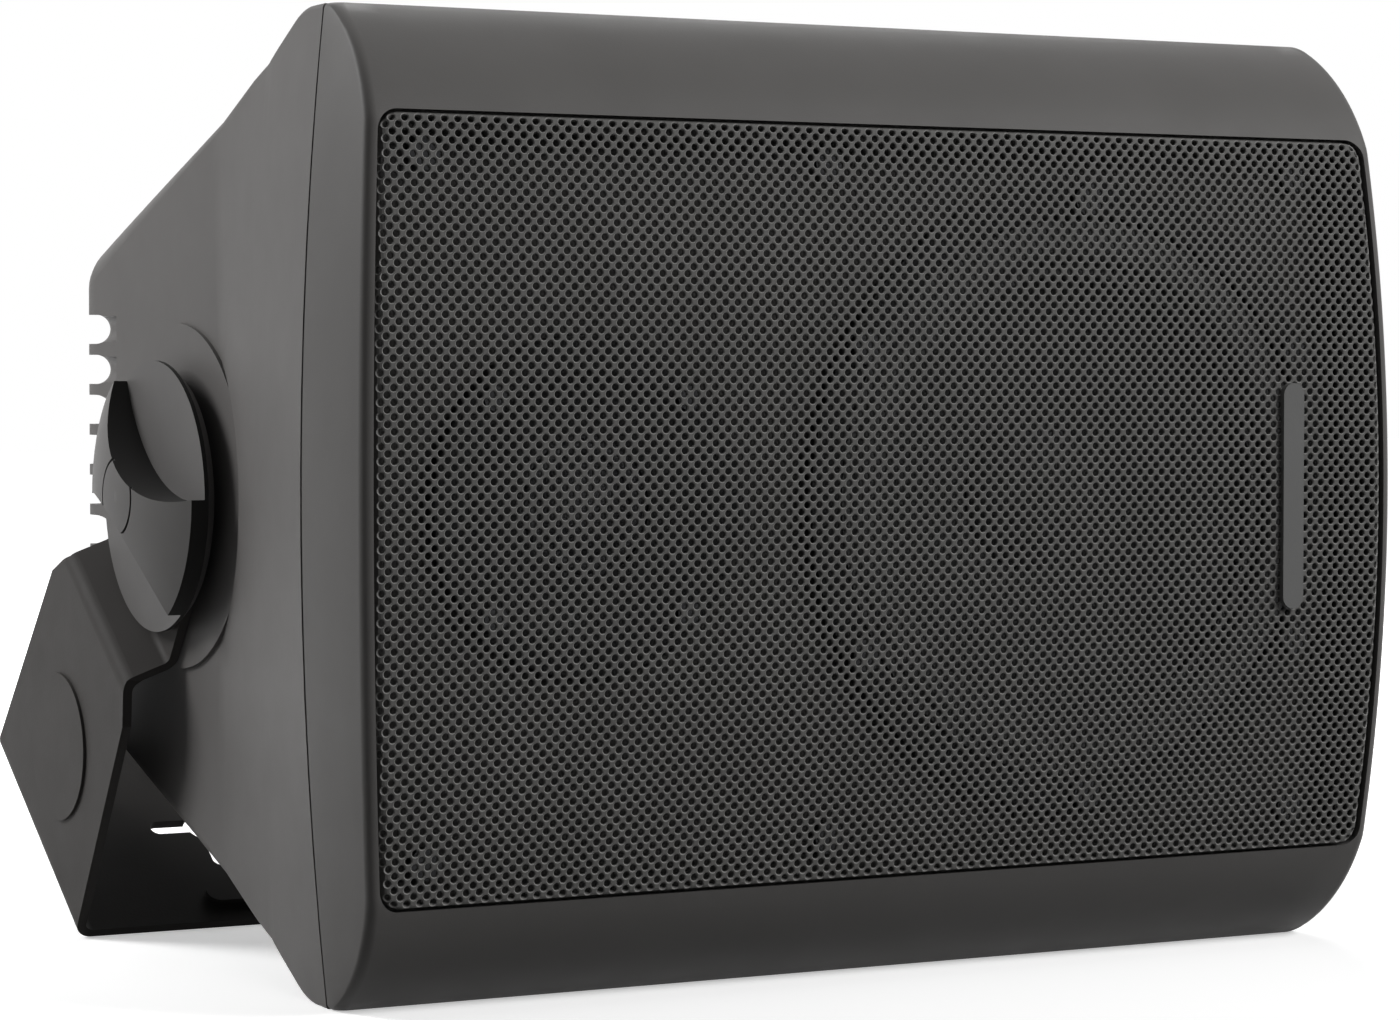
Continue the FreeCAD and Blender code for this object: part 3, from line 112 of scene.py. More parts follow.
class Shader:
    """A material with one Principled shader and helpers that wire procedural textures into it."""

    def __init__(self, name, colour, roughness, metallic=0.0):
        self.material = bpy.data.materials.new(name)
        self.material.use_nodes = True
        self.tree = self.material.node_tree
        self.shader = self.tree.nodes["Principled BSDF"]
        self.colour = colour
        self.roughness = roughness
        self.shader.inputs["Roughness"].default_value = roughness
        self.shader.inputs["Metallic"].default_value = metallic
        self.place = self.tree.nodes.new("ShaderNodeTexCoord").outputs["Object"]
        self.bump = None

    def texture(self, kind, scale, **values):
        """A texture in the object's own coordinates, with values for its sockets or settings."""
        node = self.tree.nodes.new("ShaderNodeTex" + kind)
        node.inputs["Scale"].default_value = scale
        for key, value in values.items():
            if key in node.inputs:
                node.inputs[key].default_value = value
            else:
                setattr(node, key, value)
        self.tree.links.new(self.place, node.inputs["Vector"])
        return node

    def ramp(self, source, dark, light, low=0.3, high=0.7):
        """Colour between two tones where the source runs from low to high."""
        node = self.tree.nodes.new("ShaderNodeValToRGB")
        for stop, place, tone in zip(node.color_ramp.elements, (low, high), (dark, light)):
            stop.position = place
            stop.color = (*tone, 1.0)
        self.tree.links.new(source, node.inputs["Fac"])
        return node.outputs["Color"]

    def mottle(self, scale, amount):
        """Uneven tone: the colour runs darker and lighter by a share."""
        noise = self.texture("Noise", scale, Detail=4.0)
        dark = [c * (1 - amount) for c in self.colour]
        light = [c * (1 + amount) for c in self.colour]
        tone = self.ramp(noise.outputs["Fac"], dark, light)
        self.tree.links.new(tone, self.shader.inputs["Base Color"])
        return self

    def polish(self, scale, spread):
        """Uneven gloss about the stated roughness."""
        noise = self.texture("Noise", scale, Detail=3.0)
        low, high = self.roughness - spread, self.roughness + spread
        gloss = map_range(self.tree, noise.outputs["Fac"], low, high)
        self.tree.links.new(gloss.outputs["Result"], self.shader.inputs["Roughness"])
        return self

    def relief(self, source, strength, distance):
        """Add a bump on top of those already there."""
        node = self.tree.nodes.new("ShaderNodeBump")
        node.inputs["Strength"].default_value = strength
        node.inputs["Distance"].default_value = distance
        self.tree.links.new(source, node.inputs["Height"])
        if self.bump:
            self.tree.links.new(self.bump, node.inputs["Normal"])
        self.bump = node.outputs["Normal"]
        self.tree.links.new(self.bump, self.shader.inputs["Normal"])
        return self

    def grain(self, scale, strength, distance=0.1 * MM):
        """Fine noise in the relief."""
        noise = self.texture("Noise", scale, Detail=2.0)
        return self.relief(noise.outputs["Fac"], strength, distance)

    def specular(self, level):
        """Shine of a dielectric, weaker than the shader's own."""
        self.shader.inputs["Specular IOR Level"].default_value = level
        return self


# Finishes

# Threads to the metre in one unit of a wave texture's scale
THREADS_PER_SCALE = 6


def moulded(name, colour, roughness=0.48):
    """Fine spark-eroded plastic."""
    finish = Shader(name, colour, roughness).mottle(scale=28, amount=0.05).polish(scale=90, spread=0.05)
    return finish.grain(scale=2600, strength=0.22).specular(0.12).material


def powder_coat(name, colour, roughness=0.45):
    """Painted steel with a slight orange peel."""
    finish = Shader(name, colour, roughness).mottle(scale=40, amount=0.06).polish(scale=120, spread=0.06)
    cells = finish.texture("Voronoi", scale=1500, feature="SMOOTH_F1")
    return finish.relief(cells.outputs["Distance"], strength=0.16, distance=0.12 * MM).specular(0.1).material


def plated(name, colour, roughness=0.32):
    """Plated or turned metal with fine tool marks."""
    finish = Shader(name, colour, roughness, metallic=1.0).mottle(scale=60, amount=0.10)
    return finish.polish(scale=400, spread=0.08).grain(scale=900, strength=0.10).material


def soft_rubber(name, colour, roughness=0.62):
    """Dull moulded rubber."""
    finish = Shader(name, colour, roughness).mottle(scale=45, amount=0.08).polish(scale=150, spread=0.06)
    return finish.grain(scale=1800, strength=0.2).material


def cloth(name, colour, threads=1300):
    """Plain weave from two crossed waves, with a number of threads to the metre."""
    finish = Shader(name, colour, roughness=0.5).mottle(scale=35, amount=0.12)
    scale = threads / THREADS_PER_SCALE
    for direction in ("X", "Z"):
        wave = finish.texture("Wave", scale, bands_direction=direction, Distortion=0.6)
        finish.relief(wave.outputs["Fac"], strength=0.35, distance=0.12 * MM)
    finish.shader.inputs["Sheen Weight"].default_value = 0.15
    return finish.material


def pressed_pulp(name, colour):
    """Fibre cone with long soft flecks."""
    finish = Shader(name, colour, roughness=0.78).mottle(scale=220, amount=0.25)
    return finish.polish(scale=160, spread=0.07).grain(scale=700, strength=0.35, distance=0.2 * MM).material


def wound(name, colour):
    """Enamelled wire laid turn on turn."""
    finish = Shader(name, colour, roughness=0.5, metallic=0.9).mottle(scale=80, amount=0.12)
    wave = finish.texture("Wave", scale=260, bands_direction="Y", wave_profile="SIN")
    return finish.relief(wave.outputs["Fac"], strength=0.6, distance=0.3 * MM).material


def ceramic(name, colour):
    """Pressed ferrite, dull and pitted."""
    finish = Shader(name, colour, roughness=0.7).mottle(scale=150, amount=0.2).polish(scale=200, spread=0.08)
    return finish.grain(scale=1100, strength=0.4, distance=0.15 * MM).material


# Each slot's finish, colour and, where it isn't the finish's own, roughness or thread count
FINISHES = {
    "cabinet_plastic": (moulded, (0.118, 0.113, 0.110)),
    "bezel_plastic": (moulded, (0.112, 0.108, 0.105)),
    "seal_rubber": (soft_rubber, (0.012, 0.012, 0.012)),
    "grille_steel": (powder_coat, (0.125, 0.123, 0.119)),
    "badge": (moulded, (0.15, 0.15, 0.148), 0.42),
    "bracket_steel": (powder_coat, (0.049, 0.046, 0.044), 0.6),
    "knob_plastic": (moulded, (0.118, 0.114, 0.112), 0.5),
    "stud_steel": (plated, (0.55, 0.55, 0.56)),
    "insert_brass": (plated, (0.72, 0.52, 0.22)),
    "screw_steel": (plated, (0.06, 0.06, 0.062), 0.4),
    "basket_steel": (powder_coat, (0.06, 0.06, 0.061), 0.5),
    "surround_rubber": (soft_rubber, (0.09, 0.09, 0.09)),
    "spider_cloth": (cloth, (0.40, 0.27, 0.10)),
    "cone_pulp": (pressed_pulp, (0.06, 0.06, 0.06)),
    "coil_copper": (wound, (0.62, 0.28, 0.13)),
    "motor_steel": (plated, (0.42, 0.42, 0.43)),
    "ferrite": (ceramic, (0.05, 0.05, 0.052)),
    "tweeter_plastic": (moulded, (0.05, 0.05, 0.05), 0.4),
    "dome_silk": (cloth, (0.03, 0.03, 0.032), 2600),
    "terminal_plastic": (moulded, (0.022, 0.022, 0.023), 0.4),
    "terminal_green": (moulded, (0.03, 0.19, 0.06), 0.38),
    "board": (moulded, (0.02, 0.12, 0.03), 0.35),
    "component": (moulded, (0.22, 0.19, 0.13), 0.4),
}
materials = {slot: make(slot, *values) for slot, (make, *values) in FINISHES.items()}
# Lighter painted highlight for the chamfered rims of the grille's holes
grille_rim_painted_highlight = powder_coat("grille_rim_painted_highlight", (0.26, 0.257, 0.25), 0.4)
# Near-black painted shade for the knobs' rim and step walls
knob_wall_painted_shade = moulded("knob_wall_painted_shade", (0.016, 0.0155, 0.015), 0.5)


def dress(thing, *finishes):
    """Give an object these materials and no others."""
    thing.data.materials.clear()
    for finish in finishes:
        thing.data.materials.append(finish)


for name, node in nodes.items():
    dress(node, materials[slot_of[name]])


# Pieces and meshes

SMOOTH_LIMIT = math.radians(20)
# Distance in millimetres below which flat points are one, and which triangles between them are kept
POINT_TOLERANCE = 1e-5
WHOLE_HULL = 0
INSIDE_LOOPS = 1


def new_piece(name, mesh, body, slot, *replaced):
    """Link a mesh as a piece that rides on a body, and hide the nodes it replaces; the slot is not used."""
    piece = bpy.data.objects.new(name, mesh)
    bpy.context.scene.collection.objects.link(piece)
    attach(piece, body)
    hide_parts(*replaced)
    return piece


def vertex_places(mesh):
    """A mesh's vertices as rows of an array."""
    places = np.zeros(len(mesh.vertices) * 3)
    mesh.vertices.foreach_get("co", places)
    return places.reshape(-1, 3)


def smooth_by_angle(mesh):
    """Smooth shading, with the edges sharp where the surface turns by more than the limit."""
    if "custom_normal" in mesh.attributes:
        mesh.attributes.remove(mesh.attributes["custom_normal"])
    mesh.polygons.foreach_set("use_smooth", [True] * len(mesh.polygons))
    mesh.update()
    mesh.set_sharp_from_angle(angle=SMOOTH_LIMIT)


def compact(places, faces):
    """The places that the faces use, and the faces by those places' new numbers."""
    used, index = np.unique(np.concatenate(faces), return_inverse=True)
    ends = np.cumsum([len(face) for face in faces])
    return places[used], [index[end - len(face):end].tolist() for face, end in zip(faces, ends)]


def loop_edges(start, count):
    """The edges of a closed loop of points that follow each other."""
    return [(start + k, start + (k + 1) % count) for k in range(count)]


def triangulate(flat, edges, extent):
    """Triangles between flat points, by the points' numbers, with the edges kept."""
    points = [Vector(point) for point in (flat / MM).tolist()]
    found = delaunay_2d_cdt(points, edges, [], extent, POINT_TOLERANCE)
    triangles, origins = found[2], found[3]
    source = np.array([origin[0] for origin in origins])
    return source[np.array(triangles)]


def sagitta(radius, half_chord):
    """How far an arc falls from its crest at a distance to the side."""
    return radius - np.sqrt(radius ** 2 - half_chord ** 2)


def rounded_distance(past_end, past_top, corner):
    """Distance outside a shape with round corners, from how far points lie past the corners' centres."""
    outside = np.hypot(np.maximum(past_end, 0), np.maximum(past_top, 0))
    return outside + np.minimum(np.maximum(past_end, past_top), 0) - corner


# Outline of the grille, which the recess in the bezel follows

FRONT_RADIUS = 830 * MM
GRILLE_CORNER = 5 * MM
GRILLE_CROWN = 1142.6 * MM


def crown_half(rise):
    """Half length of the grille at a height."""
    return grille_half_length - sagitta(GRILLE_CROWN, rise)


def crowned_outline(half, margin, side_step, top_step, corner_points):
    """Outline with crowned ends and a half height, grown by a margin for each outward direction."""
    core = half - GRILLE_CORNER
    side = np.arange(-core, core, side_step)[1:]
    right = np.stack([crown_half(side) + margin(1, 0), side], axis=-1)
    turns = np.linspace(0, QUARTER_TURN, corner_points)
    out, up = np.cos(turns), np.sin(turns)
    reach = GRILLE_CORNER + margin(out, up)
    centre = np.array([crown_half(core) - GRILLE_CORNER, core])
    arc = centre + np.stack([reach * out, reach * up], axis=-1)
    top = np.arange(centre[0], -centre[0], -top_step)[1:]
    upper = np.stack([top, np.full_like(top, half + margin(0, 1))], axis=-1)
    upper_half = np.concatenate([right, arc, upper, (arc * (-1, 1))[::-1]])
    return np.concatenate([upper_half, -upper_half])


# Perforated grille, laid out as a flat sheet and then bulged and folded

GRILLE_SHEET = 1 * MM
GRILLE_SEAT_DEPTH = 10 * MM
GRILLE_BANDS = 4
OUTLINE_STEP = 1.2 * MM
SHEET_CORNER_POINTS = 12
END_FOLD = 2.0 * MM
TOP_FOLD = 1.2 * MM
FOLD_LIP = 0.3 * MM
HOLE_PITCH = 3.4 * MM
HOLE_RADIUS = 0.9 * MM
HOLE_CHAMFER = 0.24 * MM
HOLE_SIDES = 10
SPARE_HOLES = 2
# Material numbers of the grille: the plain sheet, and the hole rims with their painted highlight
SHEET_TONE = 0
RIM_PAINTED_HIGHLIGHT = 1
NEAR_NOUGHT = 1e-12

flat_half_height = FRONT_RADIUS * math.asin(grille_half_height / FRONT_RADIUS)


def edge_distance(x, s):
    """Distance outside the grille's outline and the outward direction, for points of the flat sheet."""
    past_end = np.abs(x) - (crown_half(s) - GRILLE_CORNER)
    past_top = np.abs(s) - (flat_half_height - GRILLE_CORNER)
    distance = rounded_distance(past_end, past_top, GRILLE_CORNER)
    out, up = np.maximum(past_end, 0), np.maximum(past_top, 0)
    length = np.hypot(out, up)
    inner = length < NEAR_NOUGHT
    scale = np.maximum(length, NEAR_NOUGHT)
    out = np.where(inner, past_end > past_top, out / scale) * np.sign(x)
    up = np.where(inner, past_end <= past_top, up / scale) * np.sign(s)
    return distance, out, up


def fold_radius(out, up):
    """The sheet is rolled over a wider edge at its ends than along its top and bottom."""
    return END_FOLD * out ** 2 + TOP_FOLD * up ** 2


def sheet_margin(out, up):
    """How far the flat sheet reaches past the outline of the folded one."""
    return fold_radius(out, up) * (QUARTER_TURN - 1) + FOLD_LIP


def bend_sheet(flat, depth):
    """Points of the flat sheet, at a depth below its outer face, on the bulged and folded grille."""
    x, s = flat.T
    distance, out, up = edge_distance(x, s)
    fold = fold_radius(out, up)
    past = np.maximum(distance + fold, 0)
    turn = np.minimum(past / fold, QUARTER_TURN)
    run = np.maximum(past - fold * QUARTER_TURN, 0)
    inner = fold - depth
    drop = depth + inner * (1 - np.cos(turn)) + run
    slip = past - inner * np.sin(turn)
    angle = (s - up * slip) / FRONT_RADIUS
    reach = FRONT_RADIUS - drop
    y = grille_front + FRONT_RADIUS - reach * np.cos(angle)
    z = mid_height + reach * np.sin(angle)
    return np.stack([x - out * slip, y, z], axis=-1)


def lattice(reach):
    """Steps of half a pitch to both sides of the middle, past a reach."""
    steps = round(reach / (HOLE_PITCH / 2)) + SPARE_HOLES
    return np.arange(-steps, steps + 1)


def hole_centres():
    """Square lattice turned by an eighth, where a whole hole fits inside the folded sheet."""
    column, row = np.meshgrid(lattice(grille_half_length), lattice(flat_half_height))
    keep = (column + row) % 2 == 0
    x, s = column[keep] * HOLE_PITCH / 2, row[keep] * HOLE_PITCH / 2
    distance, out, up = edge_distance(x, s)
    inside = distance < sheet_margin(out, up) - HOLE_RADIUS - 2 * HOLE_CHAMFER
    return np.stack([x[inside], s[inside]], axis=-1)


def ring(centres, radius):
    """Points round each hole, hole after hole."""
    turns = (np.arange(HOLE_SIDES) + 0.5) * 2 * math.pi / HOLE_SIDES
    circle = radius * np.stack([np.cos(turns), np.sin(turns)], axis=-1)
    return (centres[:, None, :] + circle[None]).reshape(-1, 2)


def perforate(flat, count, first, second):
    """Triangles of the sheet between its outline, the first points, and the edges round its holes."""
    around = np.stack([first, second], axis=-1)
    edges = loop_edges(0, count) + [tuple(edge) for edge in around.tolist()]
    triangles = triangulate(flat, edges, WHOLE_HULL)
    owner = (triangles - count) // HOLE_SIDES
    plug = (owner >= 0).all(axis=1) & (owner == owner[:, :1]).all(axis=1)
    return triangles[~plug]


def grille_surface():
    """Vertices of the whole grille, and its faces in groups, each with a tone: the plain sheet, or the
    painted highlight on the hole rims.
    """
    outline = crowned_outline(flat_half_height, sheet_margin, OUTLINE_STEP, OUTLINE_STEP, SHEET_CORNER_POINTS)
    centres = hole_centres()
    flat = np.concatenate([outline, ring(centres, HOLE_RADIUS + HOLE_CHAMFER)])
    throats = ring(centres, HOLE_RADIUS)
    front = bend_sheet(flat, 0)
    chamfer = bend_sheet(throats, HOLE_CHAMFER)
    back = bend_sheet(np.concatenate([outline, throats]), GRILLE_SHEET)
    count = len(outline)
    seat = np.concatenate([front[:count], back[:count]])
    seat[:, 1] = grille_front + GRILLE_SEAT_DEPTH
    vertices = np.concatenate([front, chamfer, back, seat])

    start = count + HOLE_SIDES * np.repeat(np.arange(len(centres)), HOLE_SIDES)
    step = np.tile(np.arange(HOLE_SIDES), len(centres))
    first, second = start + step, start + (step + 1) % HOLE_SIDES
    near, far = np.array(loop_edges(0, count)).T
    deep = len(front) - count
    behind = len(front) + len(chamfer)
    foot = behind + len(back)
    heel = foot + count
    sheet = perforate(flat, count, first, second)
    rims = np.stack([first, second, second + deep, first + deep], axis=-1)
    walls = np.stack([first + deep, second + deep, second + behind, first + behind], axis=-1)
    skirt = np.stack([far, near, near + foot, far + foot], axis=-1)
    lining = np.stack([near + behind, far + behind, far + heel, near + heel], axis=-1)
    hem = np.stack([far + foot, near + foot, near + heel, far + heel], axis=-1)
    plain = (sheet, walls, sheet[:, ::-1] + behind, skirt, lining, hem)
    return vertices, [(rims, RIM_PAINTED_HIGHLIGHT), *((group, SHEET_TONE) for group in plain)]


def build_grille():
    """The grille in bands along its length, each a piece with a lighter painted highlight on its hole rims.
    """
    vertices, groups = grille_surface()
    limits = np.linspace(-grille_half_length, grille_half_length, GRILLE_BANDS + 1)[1:-1]
    for band in range(GRILLE_BANDS):
        faces, tones = [], []
        for group, tone in groups:
            middle = vertices[group][:, :, 0].mean(axis=1)
            chosen = group[np.searchsorted(limits, middle) == band]
            faces += chosen.tolist()
            tones += [tone] * len(chosen)
        places, faces = compact(vertices, faces)
        mesh = bpy.data.meshes.new(f"grille_band_{band + 1}")
        mesh.from_pydata(places.tolist(), [], faces)
        piece = new_piece(mesh.name, mesh, "cabinet", "grille_steel", "grille")
        dress(piece, materials["grille_steel"], grille_rim_painted_highlight)
        # The hole rims take the lighter painted highlight
        mesh.polygons.foreach_set("material_index", tones)


build_grille()


# Rear shell, with its top and bottom sloping from just behind the parting line

# Middle band that stays, and the rear edge that both sections share
KEPT_HALF = 55 * MM
REAR_DEPTH = 178 * MM
REAR_HALF = 65.5 * MM
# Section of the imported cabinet
SOLID_FLAT = 33 * MM
SOLID_ROLL = 46.4 * MM
SOLID_ROLL_END = 50.35 * MM
SOLID_START = 42 * MM
SOLID_CREST = 120.3 * MM
# Section of the shell
SHOULDER_FLAT = 8 * MM
SHOULDER_ROLL = 30 * MM
SHOULDER_TURN = math.radians(24)
SLOPE_START = 40 * MM
SLOPE_HALF = 108.6 * MM
# Distance between the cuts along it
SHOULDER_CUT = 2 * MM
SLOPE_CUT = 14 * MM
WELD = 0.002 * MM
CUT_TOLERANCE = 0.001 * MM


def solid_half(depth):
    """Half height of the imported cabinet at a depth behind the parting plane."""
    fall = (SOLID_CREST - REAR_HALF) / (REAR_DEPTH - SOLID_START)
    slope = SOLID_CREST - fall * (depth - SOLID_START)
    rolled = SOLID_CREST - sagitta(SOLID_ROLL, np.clip(depth - SOLID_FLAT, 0, SOLID_ROLL))
    return np.minimum(np.where(depth < SOLID_ROLL_END, rolled, slope), half_height)


def shoulder_half(depth):
    """Half height with a short flat, a roll, a steeper shoulder and the long slope."""
    roll_run = SHOULDER_ROLL * math.sin(SHOULDER_TURN)
    roll_end = SHOULDER_FLAT + roll_run
    roll_half = half_height - SHOULDER_ROLL * (1 - math.cos(SHOULDER_TURN))
    rolled = half_height - sagitta(SHOULDER_ROLL, np.clip(depth - SHOULDER_FLAT, 0, roll_run))
    straight = np.interp(depth, (roll_end, SLOPE_START, REAR_DEPTH), (roll_half, SLOPE_HALF, REAR_HALF))
    return np.where(depth < roll_end, rolled, straight)


def cut_through(mesh, depths):
    """Weld a mesh and cut it by planes at depths behind the parting plane."""
    work = bmesh.new()
    work.from_mesh(mesh)
    bmesh.ops.remove_doubles(work, verts=work.verts, dist=WELD)
    for depth in depths:
        everything = work.verts[:] + work.edges[:] + work.faces[:]
        place = (0, parting + depth, 0)
        bmesh.ops.bisect_plane(work, geom=everything, dist=CUT_TOLERANCE, plane_co=place, plane_no=(0, 1, 0))
    work.to_mesh(mesh)
    work.free()


def build_rear_shell():
    """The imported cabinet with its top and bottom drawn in, beyond a middle band that keeps its height."""
    mesh = nodes["rear_cabinet"].data.copy()
    mesh.name = "rear_shell"
    shoulder_cuts = np.arange(SHOULDER_CUT, SLOPE_START + SHOULDER_CUT, SHOULDER_CUT)
    slope_cuts = np.arange(SLOPE_START + SLOPE_CUT, REAR_DEPTH, SLOPE_CUT)
    cut_through(mesh, (*shoulder_cuts, *slope_cuts))
    places = vertex_places(mesh)
    depth = places[:, 1] - parting
    rise = places[:, 2] - mid_height
    share = (shoulder_half(depth) - KEPT_HALF) / (solid_half(depth) - KEPT_HALF)
    past = np.maximum(np.abs(rise) - KEPT_HALF, 0)
    places[:, 2] = mid_height + np.sign(rise) * (np.minimum(np.abs(rise), KEPT_HALF) + past * share)
    mesh.vertices.foreach_set("co", places.ravel())
    smooth_by_angle(mesh)
    piece = new_piece("rear_shell", mesh, "cabinet", "cabinet_plastic", "rear_cabinet")
    dress(piece, materials["cabinet_plastic"])


build_rear_shell()


# Front bezel, with its ends rounded all the way up

END_RADIUS = 1146 * MM
BEZEL_DROP = 29 * MM
BEZEL_ROUND = 47.3 * MM
BEZEL_LIP = 4 * MM
BEZEL_EDGE = 2.6 * MM
EDGE_POINTS = 7
BEZEL_CORNER = 1.5 * MM
CORNER_POINTS = 6
RECESS_CORNER_POINTS = 10
SEAL_GAP = 1 * MM
GRILLE_GAP = 0.6 * MM
SIDE_STEP = 1.5 * MM
TOP_STEP = 7 * MM
SKIN = 0.35 * MM

bezel_knee = half_height - BEZEL_DROP


def end_half(rise):
    """Half length of the bezel at a height: crowned ends with small round corners."""
    past = np.clip(np.abs(rise) - half_height + BEZEL_CORNER, 0, BEZEL_CORNER)
    return bezel_high.x - sagitta(END_RADIUS, rise) - sagitta(BEZEL_CORNER, past)


def bezel_rows():
    """Heights of the bezel's rows, closer together round its corners."""
    straight = half_height - BEZEL_CORNER
    middle = np.linspace(-straight, straight, round(2 * straight / SIDE_STEP) + 1)
    corner = straight + BEZEL_CORNER * np.sin(np.linspace(0, QUARTER_TURN, CORNER_POINTS)[1:])
    return np.concatenate([-corner[::-1], middle, corner])


def bezel_depth(rise):
    """How far the bezel stands in front of the parting plane: a bulged front between two rounds."""
    rise = np.abs(rise)
    bulged = front_bulge - sagitta(FRONT_RADIUS, rise)
    knee = np.array([front_bulge - sagitta(FRONT_RADIUS, bezel_knee), bezel_knee])
    lip = np.array([BEZEL_LIP, half_height])
    chord = lip - knee
    inward = np.array([-chord[1], chord[0]]) / np.hypot(*chord)
    centre = (knee + lip) / 2 + inward * math.sqrt(BEZEL_ROUND ** 2 - chord @ chord / 4)
    rounded = centre[0] + np.sqrt(np.maximum(BEZEL_ROUND ** 2 - (rise - centre[1]) ** 2, 0))
    return np.where(rise > bezel_knee, rounded, bulged)


def bezel_places(x, rise, back):
    """Points of the bezel at a length and a height, behind its front surface by a distance."""
    return np.stack([x, parting - bezel_depth(rise) + back, mid_height + rise], axis=-1)


def recess_margin(out, up):
    """The gap round the grille is the same in every direction."""
    return GRILLE_GAP


def recess_distance(x, rise):
    """Distance outside the recess that holds the grille."""
    past_end = np.abs(x) - (crown_half(rise) - GRILLE_CORNER)
    past_top = np.abs(rise) - (grille_half_height - GRILLE_CORNER)
    return rounded_distance(past_end, past_top, GRILLE_CORNER + GRILLE_GAP)


def bezel_front():
    """Points of the front between its rounded ends, flat, and the triangles round the recess."""
    rise = bezel_rows()
    right = np.stack([end_half(rise) - BEZEL_EDGE, rise], axis=-1)
    corner = right[-1, 0]
    top = np.linspace(corner, -corner, round(2 * corner / TOP_STEP) + 1)[1:-1]
    upper = np.stack([top, np.full_like(top, half_height)], axis=-1)
    outer = np.concatenate([right, upper, -right, -upper])
    recess = crowned_outline(grille_half_height, recess_margin, SIDE_STEP, TOP_STEP, RECESS_CORNER_POINTS)
    rows = rise[(np.abs(rise) > bezel_knee) & (np.abs(rise) < half_height)]
    grid = np.stack(np.meshgrid(top, rows), axis=-1).reshape(-1, 2)
    grid = grid[recess_distance(*grid.T) > SIDE_STEP / 2]
    edges = loop_edges(0, len(outer)) + loop_edges(len(outer), len(recess))
    flat = np.concatenate([outer, recess, grid])
    triangles = triangulate(flat, edges, INSIDE_LOOPS)
    in_recess = (triangles >= len(outer)) & (triangles < len(outer) + len(recess))
    return flat, triangles[~in_recess.all(axis=1)], len(right), len(top)


def bezel_end(rise, side):
    """Columns of points from the front's edge round to the parting line, on one side."""
    columns = []
    for turn in np.linspace(0, QUARTER_TURN, EDGE_POINTS)[1:]:
        x = side * (end_half(rise) - BEZEL_EDGE + BEZEL_EDGE * math.sin(turn))
        columns.append(bezel_places(x, rise, BEZEL_EDGE * (1 - math.cos(turn))))
    columns.append(bezel_places(side * end_half(rise), rise, bezel_depth(rise) - SEAL_GAP))
    return columns


def bezel_inside():
    """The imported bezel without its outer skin."""
    mesh = nodes["front_baffle"].data
    places = vertex_places(mesh)
    rise = places[:, 2] - mid_height
    behind = bezel_depth(rise) - (parting - places[:, 1])
    aside = end_half(rise) - np.abs(places[:, 0])
    rounded = (behind < BEZEL_EDGE + SKIN) & (aside < BEZEL_EDGE + SKIN)
    skin = (behind < SKIN) | (aside < SKIN) | rounded | (np.abs(rise) > half_height - SKIN)
    faces = [list(face.vertices) for face in mesh.polygons]
    return compact(places, [face for face in faces if not skin[face].all()])


def build_bezel():
    """A skin with rounded ends, a top and a bottom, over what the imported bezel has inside."""
    flat, triangles, sides, tops = bezel_front()
    rise = flat[:, 1]
    places = [bezel_places(flat[:, 0], rise, 0)]
    faces = triangles.tolist()
    count = len(flat)
    ends = []
    for first, side in ((0, 1), (sides + tops, -1)):
        rows = range(first, first + sides)
        columns = bezel_end(rise[first:first + sides], side)
        added = np.arange(count, count + len(columns) * sides).reshape(-1, sides)
        end = np.concatenate([[rows], added])
        quads = np.stack([end[:-1, :-1], end[1:, :-1], end[1:, 1:], end[:-1, 1:]], axis=-1)
        faces += quads.reshape(-1, 4).tolist()
        places += columns
        count += added.size
        ends.append(end)
    right, left = ends
    upper = range(sides, sides + tops)
    lower = range(2 * sides + tops, 2 * sides + 2 * tops)
    faces.append([*left[::-1, 0].tolist(), *upper[::-1], *right[:, -1].tolist()])
    faces.append([*right[::-1, 0].tolist(), *lower[::-1], *left[:, -1].tolist()])
    inner_places, inner_faces = bezel_inside()
    faces += [[corner + count for corner in face] for face in inner_faces]
    mesh = bpy.data.meshes.new("front_bezel")
    mesh.from_pydata(np.concatenate([*places, inner_places]).tolist(), [], faces)
    smooth_by_angle(mesh)
    piece = new_piece("front_bezel", mesh, "cabinet", "bezel_plastic", "front_baffle")
    dress(piece, materials["bezel_plastic"])


build_bezel()


# Knobs

# Faces that lean less than this towards the knob's axis count as walls and take the painted shade
PAINTED_SHADE_SLOPE = 0.6


def build_knob(name):
    """A knob with its faces in grey and painted shade in near black on its rim and step walls, where shade
    falls.
    """
    piece = new_piece(name + "_walls_painted_shade", nodes[name].data.copy(), name, "knob_plastic", name)
    dress(piece, materials["knob_plastic"], knob_wall_painted_shade)
    for face in piece.data.polygons:
        # Walls get the near-black painted shade, the faces keep the grey plastic
        face.material_index = int(abs(face.normal.x) < PAINTED_SHADE_SLOPE)


for side in ("left", "right"):
    build_knob("knob_" + side)


# Camera and lamps

CAMERA_PLACE = Vector((-0.5344, -0.9072, 0.1538))
CAMERA_YAW = math.radians(29.0)
CAMERA_PITCH = math.radians(-2.021)
CAMERA_LENS = 104.6
SENSOR_WIDTH = 36.0
LAMP_AIM = Vector((-0.03, 0.03, 0.12))


def place_on_stage(name, data, place, direction):
    """Link a camera or a lamp that stands at a place and looks in a direction."""
    thing = bpy.data.objects.new(name, data)
    bpy.context.scene.collection.objects.link(thing)
    thing.location = place
    thing.rotation_mode = "QUATERNION"
    thing.rotation_quaternion = direction.to_track_quat("-Z", "Y")
    return thing


